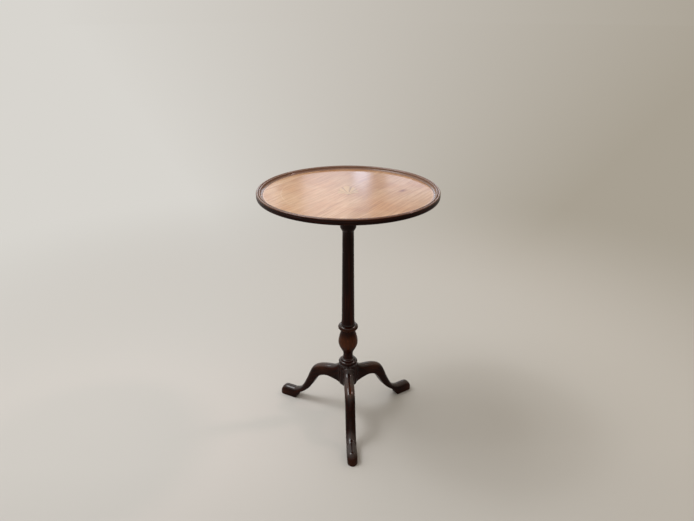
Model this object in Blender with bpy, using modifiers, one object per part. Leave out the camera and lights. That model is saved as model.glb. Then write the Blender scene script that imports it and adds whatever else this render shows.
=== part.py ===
"""Tripod occasional table with a dished top that tilts upright on its pillar. Metres, +Z up.

The origin is on the floor under the pillar. The front leg points along -Y, and the top tips up about
an axis along X.
"""

import math

import bmesh
import bpy
from mathutils import Matrix, Vector

# Fits shared by every joint
GAP = 0.0003  # glue line, or running clearance, between two pieces that touch
WELD = 0.00001  # points nearer than this are one point
OVERCUT = 0.004  # how far a cutter runs past the face that it cuts

# The top
TABLE_HEIGHT = 0.700  # floor to the crest of the rim
TOP_DIAMETER = 0.470
RIM_WIDTH = 0.017  # from the outer edge in to the field
RIM_SEAT = 0.012  # from the outer edge in to the edge of the board
DISH_DEPTH = 0.008  # from the crest of the rim down to the field
VENEER_THICKNESS = 0.0012
BOARD_THICKNESS = 0.013

# The rim's mouldings
ROLL_RADIUS = 0.003  # the outer roll
BEAD_RADIUS = 0.00175  # the bead inside it
QUIRK_DEPTH = 0.0006  # the grooves on either side of a bead
BAND_SWELL = 0.0014  # how far the band on the outer face stands out
RIM_FACE = 0.0142  # from the crest down to the lower edge of the band
BEVEL_REACH = 0.034  # from the outer edge in to where the underside is flat

# The shell inlay
SHELL_RAYS = 7
SHELL_SPREAD = math.radians(164)
SHELL_HALF_WIDTH = 0.0275
SHELL_LENGTH = 0.068
SHELL_SCALLOP = 0.10  # how far a ray's corners fall short of its crest, as a share of its length
SHELL_BOSS_RADIUS = 0.0085
SHELL_BASE_Y = -0.016

# The tilting gear
HINGE_Y = -0.046
HINGE_DROP = 0.016  # from the underside of the top down to the hinge axis
BLOCK_WIDTH = 0.132
BLOCK_BACK = 0.060  # from the pillar's axis to the back face of the block
BLOCK_THICKNESS = 0.032
TRUNNION_RADIUS = 0.0075
TRUNNION_LENGTH = 0.014
SIDE_CLEARANCE = 0.0006  # between the block and each bearer
BEARER_WIDTH = 0.022
BEARER_DEPTH = 0.030
BEARER_LENGTH = 0.300
BEARER_END_DEPTH = 0.010
BEARER_END_LENGTH = 0.028
BEARER_END_SLOPE = 0.001  # how much thinner the very end is
BEARER_TAPER_LENGTH = 0.040

# The spring catch, stored with its bolt drawn back
BOLT_WIDTH = 0.012
BOLT_THICKNESS = 0.005
BOLT_LENGTH = 0.024
BOLT_THROW = 0.008
BOLT_DROP = 0.008  # from the underside of the top down to the bolt's upper face
BOLT_BEVEL = 0.003
CATCH_CLEARANCE = 0.0025  # from the block's back face to the catch
CASE_WALL = 0.002
CASE_LENGTH = 0.042
FLANGE_WIDTH = 0.042
FLANGE_THICKNESS = 0.003
FLANGE_MARGIN = 0.007  # how far the flange stops short of the case's ends
CATCH_SCREW_SPACING = 0.029
KNOB_RADIUS = 0.0045
KNOB_STEM_RADIUS = 0.0016
KNOB_SEAT = 0.0026  # how deep the stem enters the bolt
KNOB_SETBACK = 0.015  # from the bolt's tip to the knob
SPRING_RADIUS = 0.0018
SPRING_WIRE_RADIUS = 0.00035
SPRING_TURNS = 7
SPRING_POINTS_PER_TURN = 8
KEEPER_WIDTH = 0.034
KEEPER_HEIGHT = 0.014
KEEPER_THICKNESS = 0.0016
KEEPER_PLAY = 0.0006  # round the bolt in its hole
KEEPER_SCREW_SPACING = 0.024
MORTISE_DEPTH = 0.008

# The pillar, named from its foot up
HUB_CLEARANCE = 0.110  # floor to the flat end of the hub
HUB_LENGTH = 0.0615
HUB_RADIUS = 0.026
HUB_QUIRK = 0.0016
RECESS_HEIGHT = 0.0043  # hub to the foot of the base bead
RECESS_RADIUS = 0.0238
BASE_BEAD_HEIGHT = 0.0122
BASE_BEAD_RADIUS = 0.027
STEP_HEIGHT = 0.0052  # the smaller round step above the bead
STEP_RADIUS = 0.021
STEP_ROUND = 0.0048
COVE_HEIGHT = 0.0061
NECK_LENGTH = 0.0083  # top of the cove to the foot of the vase
NECK_RADIUS = 0.0138
VASE_RISE = 0.0415  # neck to the belly of the vase
VASE_RADIUS = 0.0276
VASE_SHOULDER = 0.0304  # belly to the top of the vase
VASE_TOP_RADIUS = 0.0211
KNOP_NECK = 0.009  # top of the vase to the knop
KNOP_LOWER = 0.0073  # from the crest of the knop down
KNOP_UPPER = 0.008
KNOP_RADIUS = 0.0282
FILLET_HEIGHT = 0.0143
FILLET_RADIUS = 0.0194
SHAFT_FOOT_RADIUS = 0.0179
SHAFT_TOP_RADIUS = 0.0155
FLARE_HEIGHT = 0.012
COLLAR_RADIUS = 0.0217
COLLAR_HEIGHT = 0.048
TENON_RADIUS = 0.0125
WEDGE_THICKNESS = 0.0024
WEDGE_POINT = 0.0008
WEDGE_DEPTH = 0.020

# The legs
LEG_NAMES = {"leg_front": -90.0, "leg_right": 30.0, "leg_left": 150.0}  # azimuth of each, in degrees
LEG_REACH = 0.2345  # pillar axis to the tip of the toe
LEG_WIDTH = 0.028
HIP_DEPTH = 0.055
THIGH_DEPTH = 0.0345
KNEE_DEPTH = 0.0335
SHIN_DEPTH = 0.0255
ANKLE_DEPTH = 0.016
FOOT_DEPTH = 0.033
TOE_SHARE = 0.892  # of the leg's run, where the toe begins to round down
TOE_SWEEP = math.radians(82)
TOE_STEPS = 5
CROWN_ROUND = 0.012  # radius worked on the upper edges
UNDER_ROUND = 0.002
SOCKET_DEPTH = 0.012
SOCKET_HEIGHT = 0.046
DOVETAIL_NECK = 0.010
DOVETAIL_TAIL = 0.014
DOVETAIL_LIFT = 0.002  # from the hub's flat end up to the foot of the tail

# The iron strap under the hub
STRAP_RADIUS = 0.017
STRAP_WIDTH = 0.013
STRAP_THICKNESS = 0.0025
STRAP_REACH = 0.062
STRAP_SCREW_REACH = 0.053

# Countersunk wood screws: head radius, head depth, shank radius, length
BEARER_SCREW = (0.0036, 0.0024, 0.0019, 0.019)
CATCH_SCREW = (0.0028, 0.0018, 0.0015, 0.011)
KEEPER_SCREW = (0.0022, 0.0012, 0.0011, 0.011)
STRAP_SCREW = (0.0032, 0.0020, 0.0017, 0.016)

# Facets
RIM_STEPS = 64
PILLAR_STEPS = 30
SMALL_STEPS = 12

# Heights and places that follow from the sizes above
TOP_RADIUS = TOP_DIAMETER / 2
FIELD_Z = TABLE_HEIGHT - DISH_DEPTH
VENEER_Z = FIELD_Z - VENEER_THICKNESS
BOARD_Z = VENEER_Z - GAP
UNDERSIDE_Z = BOARD_Z - BOARD_THICKNESS
HINGE_Z = UNDERSIDE_Z - HINGE_DROP
BLOCK_TOP_Z = UNDERSIDE_Z - GAP
BLOCK_Z = BLOCK_TOP_Z - BLOCK_THICKNESS
SHOULDER_Z = BLOCK_Z - GAP
HUB_TOP_Z = HUB_CLEARANCE + HUB_LENGTH
BOLT_TOP_Z = UNDERSIDE_Z - BOLT_DROP
BOLT_Z = BOLT_TOP_Z - BOLT_THICKNESS
BOLT_TIP_Y = BLOCK_BACK + CATCH_CLEARANCE
BOLT_END_Y = BOLT_TIP_Y + BOLT_LENGTH
CASE_END_Y = BOLT_TIP_Y + CASE_LENGTH
CASE_Z = BOLT_Z - GAP - CASE_WALL
KNOB_Y = BOLT_TIP_Y + KNOB_SETBACK
BEARER_X = (BLOCK_WIDTH + BEARER_WIDTH) / 2 + SIDE_CLEARANCE

FLAT = Matrix.Identity(4)
UPRIGHT_XZ = Matrix.Rotation(math.radians(90), 4, "X")  # an outline's x, y become X, Z
UPRIGHT_YZ = Matrix(((0, 0, 1, 0), (1, 0, 0, 0), (0, 1, 0, 0), (0, 0, 0, 1)))  # and here Y, Z


def new_collection(name):
    collection = bpy.data.collections.new(name)
    bpy.context.scene.collection.children.link(collection)
    return collection


def finish(name, colour, roughness, metallic=0.0):
    """A plain finish from an sRGB hex colour."""
    linear = []
    for i in (0, 2, 4):
        part = int(colour[i : i + 2], 16) / 255
        linear.append(part / 12.92 if part <= 0.04045 else ((part + 0.055) / 1.055) ** 2.4)
    material = bpy.data.materials.new(name)
    material.use_nodes = True
    shader = material.node_tree.nodes["Principled BSDF"]
    shader.inputs["Base Color"].default_value = (*linear, 1.0)
    shader.inputs["Roughness"].default_value = roughness
    shader.inputs["Metallic"].default_value = metallic
    material.diffuse_color = (*linear, 1.0)
    return material


def helper(name, mesh, place=FLAT):
    """An object that only cuts, joins or is copied from."""
    piece = bpy.data.objects.new(name, mesh)
    cutters.objects.link(piece)
    piece.matrix_world = place
    piece.hide_render = True
    piece.display_type = "WIRE"
    return piece


def part(piece, name, material):
    """Turns a helper into a sub-part of the table."""
    piece.name = name
    cutters.objects.unlink(piece)
    table.objects.link(piece)
    piece.hide_render = False
    piece.display_type = "TEXTURED"
    piece.data.materials.clear()
    piece.data.materials.append(material)
    return piece


def copy_of(pattern, name, place, material):
    return part(helper(name, pattern.data, place), name, material)


def plain(piece):
    """Replaces an object's mesh or curve, and its modifiers, by the plain mesh that they give."""
    graph = bpy.context.evaluated_depsgraph_get()
    mesh = bpy.data.meshes.new_from_object(piece.evaluated_get(graph))
    shape = bmesh.new()
    shape.from_mesh(mesh)
    bmesh.ops.remove_doubles(shape, verts=shape.verts, dist=WELD)
    bmesh.ops.recalc_face_normals(shape, faces=shape.faces)
    shape.to_mesh(mesh)
    shape.free()
    made = helper(piece.name + "_plain", mesh, piece.matrix_world)
    bpy.data.objects.remove(piece)
    return made


def box(name, low, high):
    shape = bmesh.new()
    bmesh.ops.create_cube(shape, size=1.0)
    size = [b - a for a, b in zip(low, high)]
    middle = [(a + b) / 2 for a, b in zip(low, high)]
    bmesh.ops.scale(shape, vec=size, verts=shape.verts)
    bmesh.ops.translate(shape, vec=middle, verts=shape.verts)
    mesh = bpy.data.meshes.new(name)
    shape.to_mesh(mesh)
    shape.free()
    return helper(name, mesh)


def turned(name, profile, steps, ring=False, place=FLAT):
    """(radius, height) points, down the outer side, spun about Z. A ring's profile is a closed loop."""
    mesh = bpy.data.meshes.new(name)
    edges = [(i, i + 1) for i in range(len(profile) - 1)]
    if ring:
        edges.append((len(profile) - 1, 0))
    mesh.from_pydata([(radius, 0.0, height) for radius, height in profile], edges, [])
    piece = helper(name, mesh, place)
    spin = piece.modifiers.new("spin", "SCREW")
    spin.axis = "Z"
    spin.steps = steps
    spin.render_steps = steps
    spin.use_merge_vertices = True
    spin.merge_threshold = WELD
    spin.use_smooth_shade = True
    return piece


def sawn(name, outline, thickness, place):
    """A flat outline cut from stock of this thickness, centred on it."""
    curve = bpy.data.curves.new(name, "CURVE")
    curve.dimensions = "2D"
    curve.fill_mode = "BOTH"
    curve.extrude = thickness / 2
    spline = curve.splines.new("POLY")
    spline.points.add(len(outline) - 1)
    for point, (x, y) in zip(spline.points, outline):
        point.co = (x, y, 0.0, 1.0)
    spline.use_cyclic_u = True
    return plain(helper(name, curve, place))


def cylinder(name, radius, low, high, steps, place=FLAT):
    return turned(name, [(0.0, high), (radius, high), (radius, low), (0.0, low)], steps, place=place)


def combine(piece, operation, others):
    for other in others:
        step = piece.modifiers.new(operation.lower() + "_" + other.name, "BOOLEAN")
        step.operation = operation
        step.solver = "EXACT"
        step.object = other
    return piece


def cut(piece, *others):
    return combine(piece, "DIFFERENCE", others)


def join(piece, *others):
    return combine(piece, "UNION", others)


def arc(centre, radii, start, end, count):
    """Points along an arc of an ellipse, with its angles in degrees from the outward direction."""
    points = []
    for i in range(count):
        angle = math.radians(start + (end - start) * i / (count - 1))
        points.append((centre[0] + radii[0] * math.cos(angle), centre[1] + radii[1] * math.sin(angle)))
    return points


def sweep(crest, trough, power, count):
    """A turned curve that leaves its crest square and meets its trough at an angle. Starts at the crest."""
    points = []
    for i in range(count):
        t = i / (count - 1)
        radius = crest[0] + (trough[0] - crest[0]) * t**power
        points.append((radius, crest[1] + (trough[1] - crest[1]) * t))
    return points


def ogee(crest, neck, lean, count):
    """A turned double curve, square at both ends. Starts at the crest."""
    points = []
    for i in range(count):
        t = i / (count - 1)
        ease = (1 - math.cos(math.pi * t**lean)) / 2
        points.append((crest[0] + (neck[0] - crest[0]) * ease, crest[1] + (neck[1] - crest[1]) * t))
    return points


def screw_profile(sizes, extra=0.0, run_out=0.0):
    """A screw that points up from its head's face at height 0, or its hole when extra and run_out are set."""
    head, depth, shank, length = sizes
    return [
        (0.0, length + extra),
        (shank + extra, length - shank),
        (shank + extra, depth),
        (head + extra, -extra / 4),
        (head + extra, -run_out),
        (0.0, -run_out),
    ]


def screw(name, sizes, place, material):
    profile = screw_profile(sizes)
    profile.pop(4)
    made = plain(turned(name, profile, SMALL_STEPS, place=place))
    return part(made, name, material)


def screw_hole(sizes, place):
    return turned("screw_hole", screw_profile(sizes, GAP, OVERCUT), SMALL_STEPS, place=place)


def bevel_height(inset):
    """The height of the sloping underside, this far in from the edge of the top."""
    band_foot = TABLE_HEIGHT - RIM_FACE
    share = (inset - BAND_SWELL) / (BEVEL_REACH - BAND_SWELL)
    return band_foot + (UNDERSIDE_Z - band_foot) * share


def rim_profile():
    """The rim's section, clockwise from its outer roll."""
    edge = TOP_RADIUS
    crest = TABLE_HEIGHT
    roll = (edge - ROLL_RADIUS, crest - ROLL_RADIUS)
    band_top = roll[1] - ROLL_RADIUS * 0.8
    band_foot = crest - RIM_FACE
    bead = (edge - 2 * ROLL_RADIUS - 2 * QUIRK_DEPTH - BEAD_RADIUS, crest - BEAD_RADIUS - QUIRK_DEPTH)
    field_edge = edge - RIM_WIDTH
    cove_top = (bead[0] - BEAD_RADIUS, bead[1])
    profile = arc(roll, (ROLL_RADIUS, ROLL_RADIUS), 135, -45, 5)
    profile.append((edge - BAND_SWELL - QUIRK_DEPTH, band_top))
    half_band = (band_top - band_foot) / 2
    profile += arc((edge - BAND_SWELL, band_foot + half_band), (BAND_SWELL, half_band), 70, -90, 5)
    profile.append((edge - RIM_SEAT, bevel_height(RIM_SEAT)))
    profile.append((edge - RIM_SEAT, VENEER_Z))
    profile.append((field_edge, VENEER_Z))
    profile += arc((field_edge, cove_top[1]), (cove_top[0] - field_edge, cove_top[1] - FIELD_Z), -90, -10, 4)
    profile += arc(bead, (BEAD_RADIUS, BEAD_RADIUS), 165, 15, 4)
    profile.append((bead[0] + BEAD_RADIUS + QUIRK_DEPTH, bead[1] - QUIRK_DEPTH))
    return profile


def shell_reach(angle):
    across = math.sin(angle) / SHELL_HALF_WIDTH
    along = math.cos(angle) / SHELL_LENGTH
    return 1 / math.hypot(across, along)


def shell_point(angle, radius, aside=0.0):
    """A point this far from the shell's base, moved aside towards larger angles."""
    x = radius * math.sin(angle) + aside * math.cos(angle)
    y = radius * math.cos(angle) - aside * math.sin(angle)
    return (x, SHELL_BASE_Y + y)


def ray_end(number, margin, count=7):
    """The scalloped outer end of one ray: margin 0 is the ray's own, and GAP that of its pocket."""
    step = SHELL_SPREAD / SHELL_RAYS
    points = []
    for i in range(count):
        t = i / (count - 1)
        angle = -SHELL_SPREAD / 2 + step * (number + t)
        radius = shell_reach(angle) * (1 - SHELL_SCALLOP * (2 * t - 1) ** 2)
        aside = (0.5 - t) * GAP if margin == 0.0 else 0.0
        points.append(shell_point(angle, radius + margin, aside))
    return points


def shell_ray(number):
    step = SHELL_SPREAD / SHELL_RAYS
    first = -SHELL_SPREAD / 2 + step * number
    corners = [
        shell_point(first + step, SHELL_BOSS_RADIUS, -GAP / 2),
        shell_point(first, SHELL_BOSS_RADIUS, GAP / 2),
    ]
    return corners + ray_end(number, 0.0)


def shell_pocket():
    """The opening in the veneer for all the rays. It starts inside the boss's own opening."""
    first = -SHELL_SPREAD / 2
    outline = [shell_point(-first, 0.0, GAP / 2), shell_point(first, 0.0, -GAP / 2)]
    outline.append(shell_point(first, shell_reach(first) * (1 - SHELL_SCALLOP) + GAP, -GAP / 2))
    for number in range(SHELL_RAYS):
        outline += ray_end(number, GAP)[1:-1]
    outline.append(shell_point(-first, shell_reach(first) * (1 - SHELL_SCALLOP) + GAP, GAP / 2))
    return outline


def pillar_profile():
    """The turned pillar from the tenon down to the flat end of the hub."""
    bead_foot = HUB_TOP_Z + RECESS_HEIGHT
    bead_top = bead_foot + BASE_BEAD_HEIGHT
    step_top = bead_top + STEP_HEIGHT
    neck_foot = step_top + COVE_HEIGHT
    neck = neck_foot + NECK_LENGTH
    belly = neck + VASE_RISE
    vase_top = belly + VASE_SHOULDER
    knop_crest = vase_top + KNOP_NECK + KNOP_LOWER
    knop_top = knop_crest + KNOP_UPPER
    shaft_foot = knop_top + FILLET_HEIGHT
    collar_foot = SHOULDER_Z - COLLAR_HEIGHT
    shaft_top = collar_foot - FLARE_HEIGHT
    tenon_top = BLOCK_TOP_Z - GAP
    profile = [(0.0, tenon_top), (TENON_RADIUS, tenon_top), (TENON_RADIUS, SHOULDER_Z)]
    profile.append((COLLAR_RADIUS, SHOULDER_Z))
    profile += sweep((COLLAR_RADIUS, collar_foot), (SHAFT_TOP_RADIUS, shaft_top), 1.4, 5)
    profile.append((SHAFT_FOOT_RADIUS, shaft_foot))
    profile.append((FILLET_RADIUS, knop_top + FILLET_HEIGHT * 0.4))
    profile += arc((FILLET_RADIUS, knop_crest), (KNOP_RADIUS - FILLET_RADIUS, KNOP_UPPER), 90, 0, 5)
    profile += arc((VASE_TOP_RADIUS, knop_crest), (KNOP_RADIUS - VASE_TOP_RADIUS, KNOP_LOWER), 0, -90, 5)[1:]
    profile += sweep((VASE_RADIUS, belly), (VASE_TOP_RADIUS, vase_top), 1.5, 6)[::-1]
    profile += ogee((VASE_RADIUS, belly), (NECK_RADIUS, neck), 1.18, 8)[1:]
    step = (STEP_RADIUS - STEP_ROUND, step_top - STEP_ROUND)
    profile += sweep((NECK_RADIUS, neck_foot), (step[0], step_top), 2.2, 4)
    profile += arc(step, (STEP_ROUND, STEP_ROUND), 90, 0, 5)[1:]
    half_bead = BASE_BEAD_HEIGHT / 2
    profile += arc((STEP_RADIUS, bead_foot + half_bead), (BASE_BEAD_RADIUS - STEP_RADIUS, half_bead), 90, -80, 8)
    profile += [(RECESS_RADIUS, bead_foot), (RECESS_RADIUS, HUB_TOP_Z)]
    profile += [(HUB_RADIUS - HUB_QUIRK, HUB_TOP_Z), (HUB_RADIUS, HUB_TOP_Z - HUB_QUIRK)]
    profile += [(HUB_RADIUS, HUB_CLEARANCE), (0.0, HUB_CLEARANCE)]
    return profile


def leg_stations():
    """The template of a leg: reach, height of the centre line, depth, and lean in degrees."""
    run = LEG_REACH - HUB_RADIUS
    hip = HUB_CLEARANCE + HIP_DEPTH / 2
    sole = FOOT_DEPTH / 2
    template = (
        (-0.045, hip, HIP_DEPTH, 0),
        (0.000, hip, HIP_DEPTH, 0),
        (0.091, 0.985 * hip, (HIP_DEPTH + 2 * THIGH_DEPTH) / 3, 4),
        (0.187, 0.983 * hip, THIGH_DEPTH, 5),
        (0.278, 0.953 * hip, KNEE_DEPTH, 22),
        (0.361, 0.884 * hip, KNEE_DEPTH, 43),
        (0.422, 0.756 * hip, (KNEE_DEPTH + SHIN_DEPTH) / 2, 58),
        (0.477, 0.588 * hip, SHIN_DEPTH, 61),
        (0.538, 0.426 * hip, (2 * SHIN_DEPTH + ANKLE_DEPTH) / 3, 55),
        (0.604, 0.303 * hip, ANKLE_DEPTH, 44),
        (0.673, 0.224 * hip, ANKLE_DEPTH, 37),
        (0.722, 0.163 * hip, (ANKLE_DEPTH + FOOT_DEPTH) / 2, 10),
        (0.742, sole, FOOT_DEPTH, 8),
        (0.811, sole, FOOT_DEPTH, 4),
        (TOE_SHARE, sole, FOOT_DEPTH, 0),
    )
    return [Vector((HUB_RADIUS + share * run, *rest)) for share, *rest in template]


def smooth_line(points, per_span):
    """A smooth curve through the points, with this many steps from each to the next."""
    ends = [2 * points[0] - points[1], *points, 2 * points[-1] - points[-2]]
    line = []
    for a, b, c, d in zip(ends, ends[1:], ends[2:], ends[3:]):
        for i in range(per_span):
            t = i / per_span
            bend = (2 * a - 5 * b + 4 * c - d) * t**2 + (3 * b - 3 * c + d - a) * t**3
            line.append((2 * b + (c - a) * t + bend) / 2)
    line.append(points[-1])
    return line


def leg_sections():
    """Middle, upward half depth and half width of each section of a leg along +X, the toe's last."""
    half = LEG_WIDTH / 2
    sections = []
    for reach, height, depth, lean in smooth_line(leg_stations(), 2):
        angle = math.radians(lean)
        up = Vector((math.sin(angle), 0.0, math.cos(angle))) * depth / 2
        sections.append((Vector((reach, 0.0, height)), up, half))
    start = HUB_RADIUS + TOE_SHARE * (LEG_REACH - HUB_RADIUS)
    for i in range(1, TOE_STEPS + 1):
        angle = TOE_SWEEP * i / TOE_STEPS
        reach = start + (LEG_REACH - start) * math.sin(angle) / math.sin(TOE_SWEEP)
        height = FOOT_DEPTH * math.cos(angle)
        past = max(0.0, reach - (LEG_REACH - half)) / half
        width = half * math.sqrt(max(1 - past**2, 0.09))
        sections.append((Vector((reach, 0.0, height / 2)), Vector((0.0, 0.0, height / 2)), width))
    return sections


def section_ring(middle, up, width):
    """A sawn section with well rounded upper edges and barely eased lower ones, cut off at the floor."""
    depth = up.length
    crown = min(CROWN_ROUND, 0.9 * width, 1.6 * depth)
    ease = min(UNDER_ROUND, 0.4 * width, depth / 4)
    flat = arc((width - crown, depth - crown), (crown, crown), 0, 90, 5)
    flat += arc((crown - width, depth - crown), (crown, crown), 90, 180, 5)
    flat += arc((ease - width, ease - depth), (ease, ease), 180, 270, 3)
    flat += arc((width - ease, ease - depth), (ease, ease), 270, 360, 3)
    ring = []
    for across, rise in flat:
        point = middle + up.normalized() * rise + Vector((0.0, across, 0.0))
        point.z = max(point.z, 0.0)
        ring.append(point)
    return ring


def leg_blank():
    """The shaped leg before its joint is cut: a loft through its sections, along +X."""
    shape = bmesh.new()
    rings = []
    for section in leg_sections():
        rings.append([shape.verts.new(point) for point in section_ring(*section)])
    for near, far in zip(rings, rings[1:]):
        count = len(near)
        for i in range(count):
            j = (i + 1) % count
            shape.faces.new((near[i], near[j], far[j], far[i]))
    shape.faces.new(rings[0][::-1])
    shape.faces.new(rings[-1])
    bmesh.ops.recalc_face_normals(shape, faces=shape.faces)
    mesh = bpy.data.meshes.new("leg_blank")
    shape.to_mesh(mesh)
    shape.free()
    mesh.shade_smooth()
    return helper("leg_blank", mesh)


def under_line():
    """(reach, height) along the underside of a leg, from the hub outwards."""
    points = [middle - up for middle, up, _ in leg_sections()]
    return [(point.x, point.z) for point in points if point.x >= HUB_RADIUS - WELD]


def under_height(reach):
    line = under_line()
    for (r0, z0), (r1, z1) in zip(line, line[1:]):
        if r0 <= reach <= r1:
            return z0 + (z1 - z0) * (reach - r0) / (r1 - r0)
    return line[0][1]


def dovetail(name, clearance, foot):
    """The tail on a leg along +X, or its socket when a clearance is given."""
    inner = HUB_RADIUS - SOCKET_DEPTH
    outer = HUB_RADIUS + OVERCUT
    flare = (DOVETAIL_TAIL - DOVETAIL_NECK) / 2 * (outer - inner) / SOCKET_DEPTH
    tail = DOVETAIL_TAIL / 2
    neck = tail - flare + clearance
    tail += clearance
    inner -= clearance
    outline = [(inner, -tail), (outer, -neck), (outer, neck), (inner, tail)]
    top = HUB_CLEARANCE + SOCKET_HEIGHT + clearance
    return sawn(name, outline, top - foot, Matrix.Translation((0.0, 0.0, (top + foot) / 2)))


def strap_screw_place():
    """Where the strap's screw enters on the leg along +X: square to the strap, its head flush."""
    half = STRAP_WIDTH / 2
    rise = under_height(STRAP_SCREW_REACH + half) - under_height(STRAP_SCREW_REACH - half)
    tilt = math.atan2(rise, STRAP_WIDTH)
    drop = (2 * GAP + STRAP_THICKNESS) / math.cos(tilt)
    head = Vector((STRAP_SCREW_REACH, 0.0, under_height(STRAP_SCREW_REACH) - drop))
    return Matrix.Translation(head) @ Matrix.Rotation(-tilt, 4, "Y")


def round_the_pillar(azimuth):
    return Matrix.Rotation(math.radians(azimuth), 4, "Z")


def make_legs():
    blank = leg_blank()
    hub = cylinder("hub_room", HUB_RADIUS + GAP, 0.0, HUB_TOP_Z + HUB_LENGTH, PILLAR_STEPS)
    tail = dovetail("leg_tail", 0.0, HUB_CLEARANCE + DOVETAIL_LIFT)
    cut(blank, hub)
    join(blank, tail)
    cut(blank, screw_hole(STRAP_SCREW, strap_screw_place()))
    pattern = plain(blank)
    for name, azimuth in LEG_NAMES.items():
        copy_of(pattern, name, round_the_pillar(azimuth), mahogany)


def make_strap():
    """The iron strap: a round plate under the hub with an arm bent along the underside of each leg."""
    inner = STRAP_RADIUS / 3
    line = [(inner, HUB_CLEARANCE), *[p for p in under_line() if p[0] < STRAP_REACH]]
    line.append((STRAP_REACH, under_height(STRAP_REACH)))
    upper = [(reach, height - 2 * GAP) for reach, height in line]
    lower = [(reach, height - 2 * GAP - STRAP_THICKNESS) for reach, height in line]
    outline = lower + upper[::-1]
    foot = HUB_CLEARANCE - STRAP_THICKNESS - 4 * GAP
    strap = cylinder("strap", STRAP_RADIUS, foot, HUB_CLEARANCE - GAP, 2 * SMALL_STEPS)
    for number, azimuth in enumerate(LEG_NAMES.values(), 1):
        turn = round_the_pillar(azimuth)
        join(strap, sawn("strap_arm", outline, STRAP_WIDTH, turn @ UPRIGHT_XZ))
        cut(strap, screw_hole(STRAP_SCREW, turn @ strap_screw_place()))
        screw(f"spider_screw_{number}", STRAP_SCREW, turn @ strap_screw_place(), iron)
    part(strap, "spider_plate", iron)


def wedge_outline(clearance):
    top = WEDGE_THICKNESS / 2 + clearance
    point = WEDGE_POINT / 2 + clearance
    head = BLOCK_TOP_Z - GAP
    foot = head - WEDGE_DEPTH - clearance
    rise = OVERCUT if clearance else 0.0
    return [(-point, foot), (point, foot), (top, head), (top, head + rise), (-top, head + rise), (-top, head)]


def make_pillar():
    pillar = turned("turning", pillar_profile(), PILLAR_STEPS)
    for azimuth in LEG_NAMES.values():
        socket = dovetail("leg_socket", GAP, HUB_CLEARANCE - OVERCUT)
        socket.matrix_world = round_the_pillar(azimuth) @ socket.matrix_world
        cut(pillar, socket)
    cut(pillar, sawn("wedge_slot", wedge_outline(GAP), 2 * TENON_RADIUS + OVERCUT, UPRIGHT_YZ))
    part(pillar, "pillar", mahogany)
    outline = wedge_outline(0.0)
    outline = outline[:3] + outline[5:]
    wedge = sawn("wedge", outline, 2 * TENON_RADIUS - 4 * GAP, UPRIGHT_YZ)
    part(wedge, "tenon_wedge", mahogany)


def keeper_screw_places():
    turn = Matrix.Rotation(math.radians(90), 4, "X")
    height = BOLT_Z + BOLT_THICKNESS / 2
    for side in (-1, 1):
        yield Matrix.Translation((side * KEEPER_SCREW_SPACING / 2, BLOCK_BACK, height)) @ turn


def make_block():
    """The block on the pillar. Its upper front edge is rounded about the hinge, so that the top can turn."""
    reach = HINGE_DROP - GAP
    outline = [(BLOCK_BACK, BLOCK_Z), (BLOCK_BACK, BLOCK_TOP_Z)]
    outline += arc((HINGE_Y, HINGE_Z), (reach, reach), 90, 180, 7)
    outline.append((HINGE_Y - reach, BLOCK_Z))
    block = sawn("block", outline, BLOCK_WIDTH, UPRIGHT_YZ)
    along_x = Matrix.Translation((0.0, HINGE_Y, HINGE_Z)) @ Matrix.Rotation(math.radians(90), 4, "Y")
    end = BLOCK_WIDTH / 2 + TRUNNION_LENGTH
    join(block, cylinder("trunnions", TRUNNION_RADIUS, -end, end, 2 * SMALL_STEPS, along_x))
    room = (BLOCK_Z - OVERCUT, BLOCK_TOP_Z + OVERCUT)
    cut(block, cylinder("tenon_hole", TENON_RADIUS + GAP, *room, PILLAR_STEPS))

    middle = BOLT_Z + BOLT_THICKNESS / 2
    half_width = KEEPER_WIDTH / 2
    half_height = KEEPER_HEIGHT / 2
    seat = BLOCK_BACK - KEEPER_THICKNESS
    low = (-half_width - GAP, seat - GAP, middle - half_height - GAP)
    high = (half_width + GAP, BLOCK_BACK + OVERCUT, middle + half_height + GAP)
    cut(block, box("keeper_recess", low, high))
    hole_x = BOLT_WIDTH / 2 + KEEPER_PLAY
    hole_z = BOLT_THICKNESS / 2 + KEEPER_PLAY
    low = (-hole_x, seat - MORTISE_DEPTH, middle - hole_z)
    high = (hole_x, BLOCK_BACK + OVERCUT, middle + hole_z)
    mortise = box("bolt_mortise", low, high)
    low = (-half_width, seat, middle - half_height)
    keeper = box("keeper", low, (half_width, BLOCK_BACK, middle + half_height))
    for piece in (block, keeper):
        cut(piece, mortise)
        for place in keeper_screw_places():
            cut(piece, screw_hole(KEEPER_SCREW, place))
    part(block, "tilt_block", mahogany)
    part(keeper, "keeper_plate", brass)
    for number, place in enumerate(keeper_screw_places(), 1):
        screw(f"keeper_screw_{number}", KEEPER_SCREW, place, brass)


def bearer_screw_places():
    along = (BEARER_LENGTH - BEARER_END_LENGTH) / 2
    head = UNDERSIDE_Z - GAP - BEARER_END_DEPTH + BEARER_END_SLOPE / 2
    for side in (-1, 1):
        for end in (-1, 1):
            yield Matrix.Translation((side * BEARER_X, end * along, head))


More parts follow.
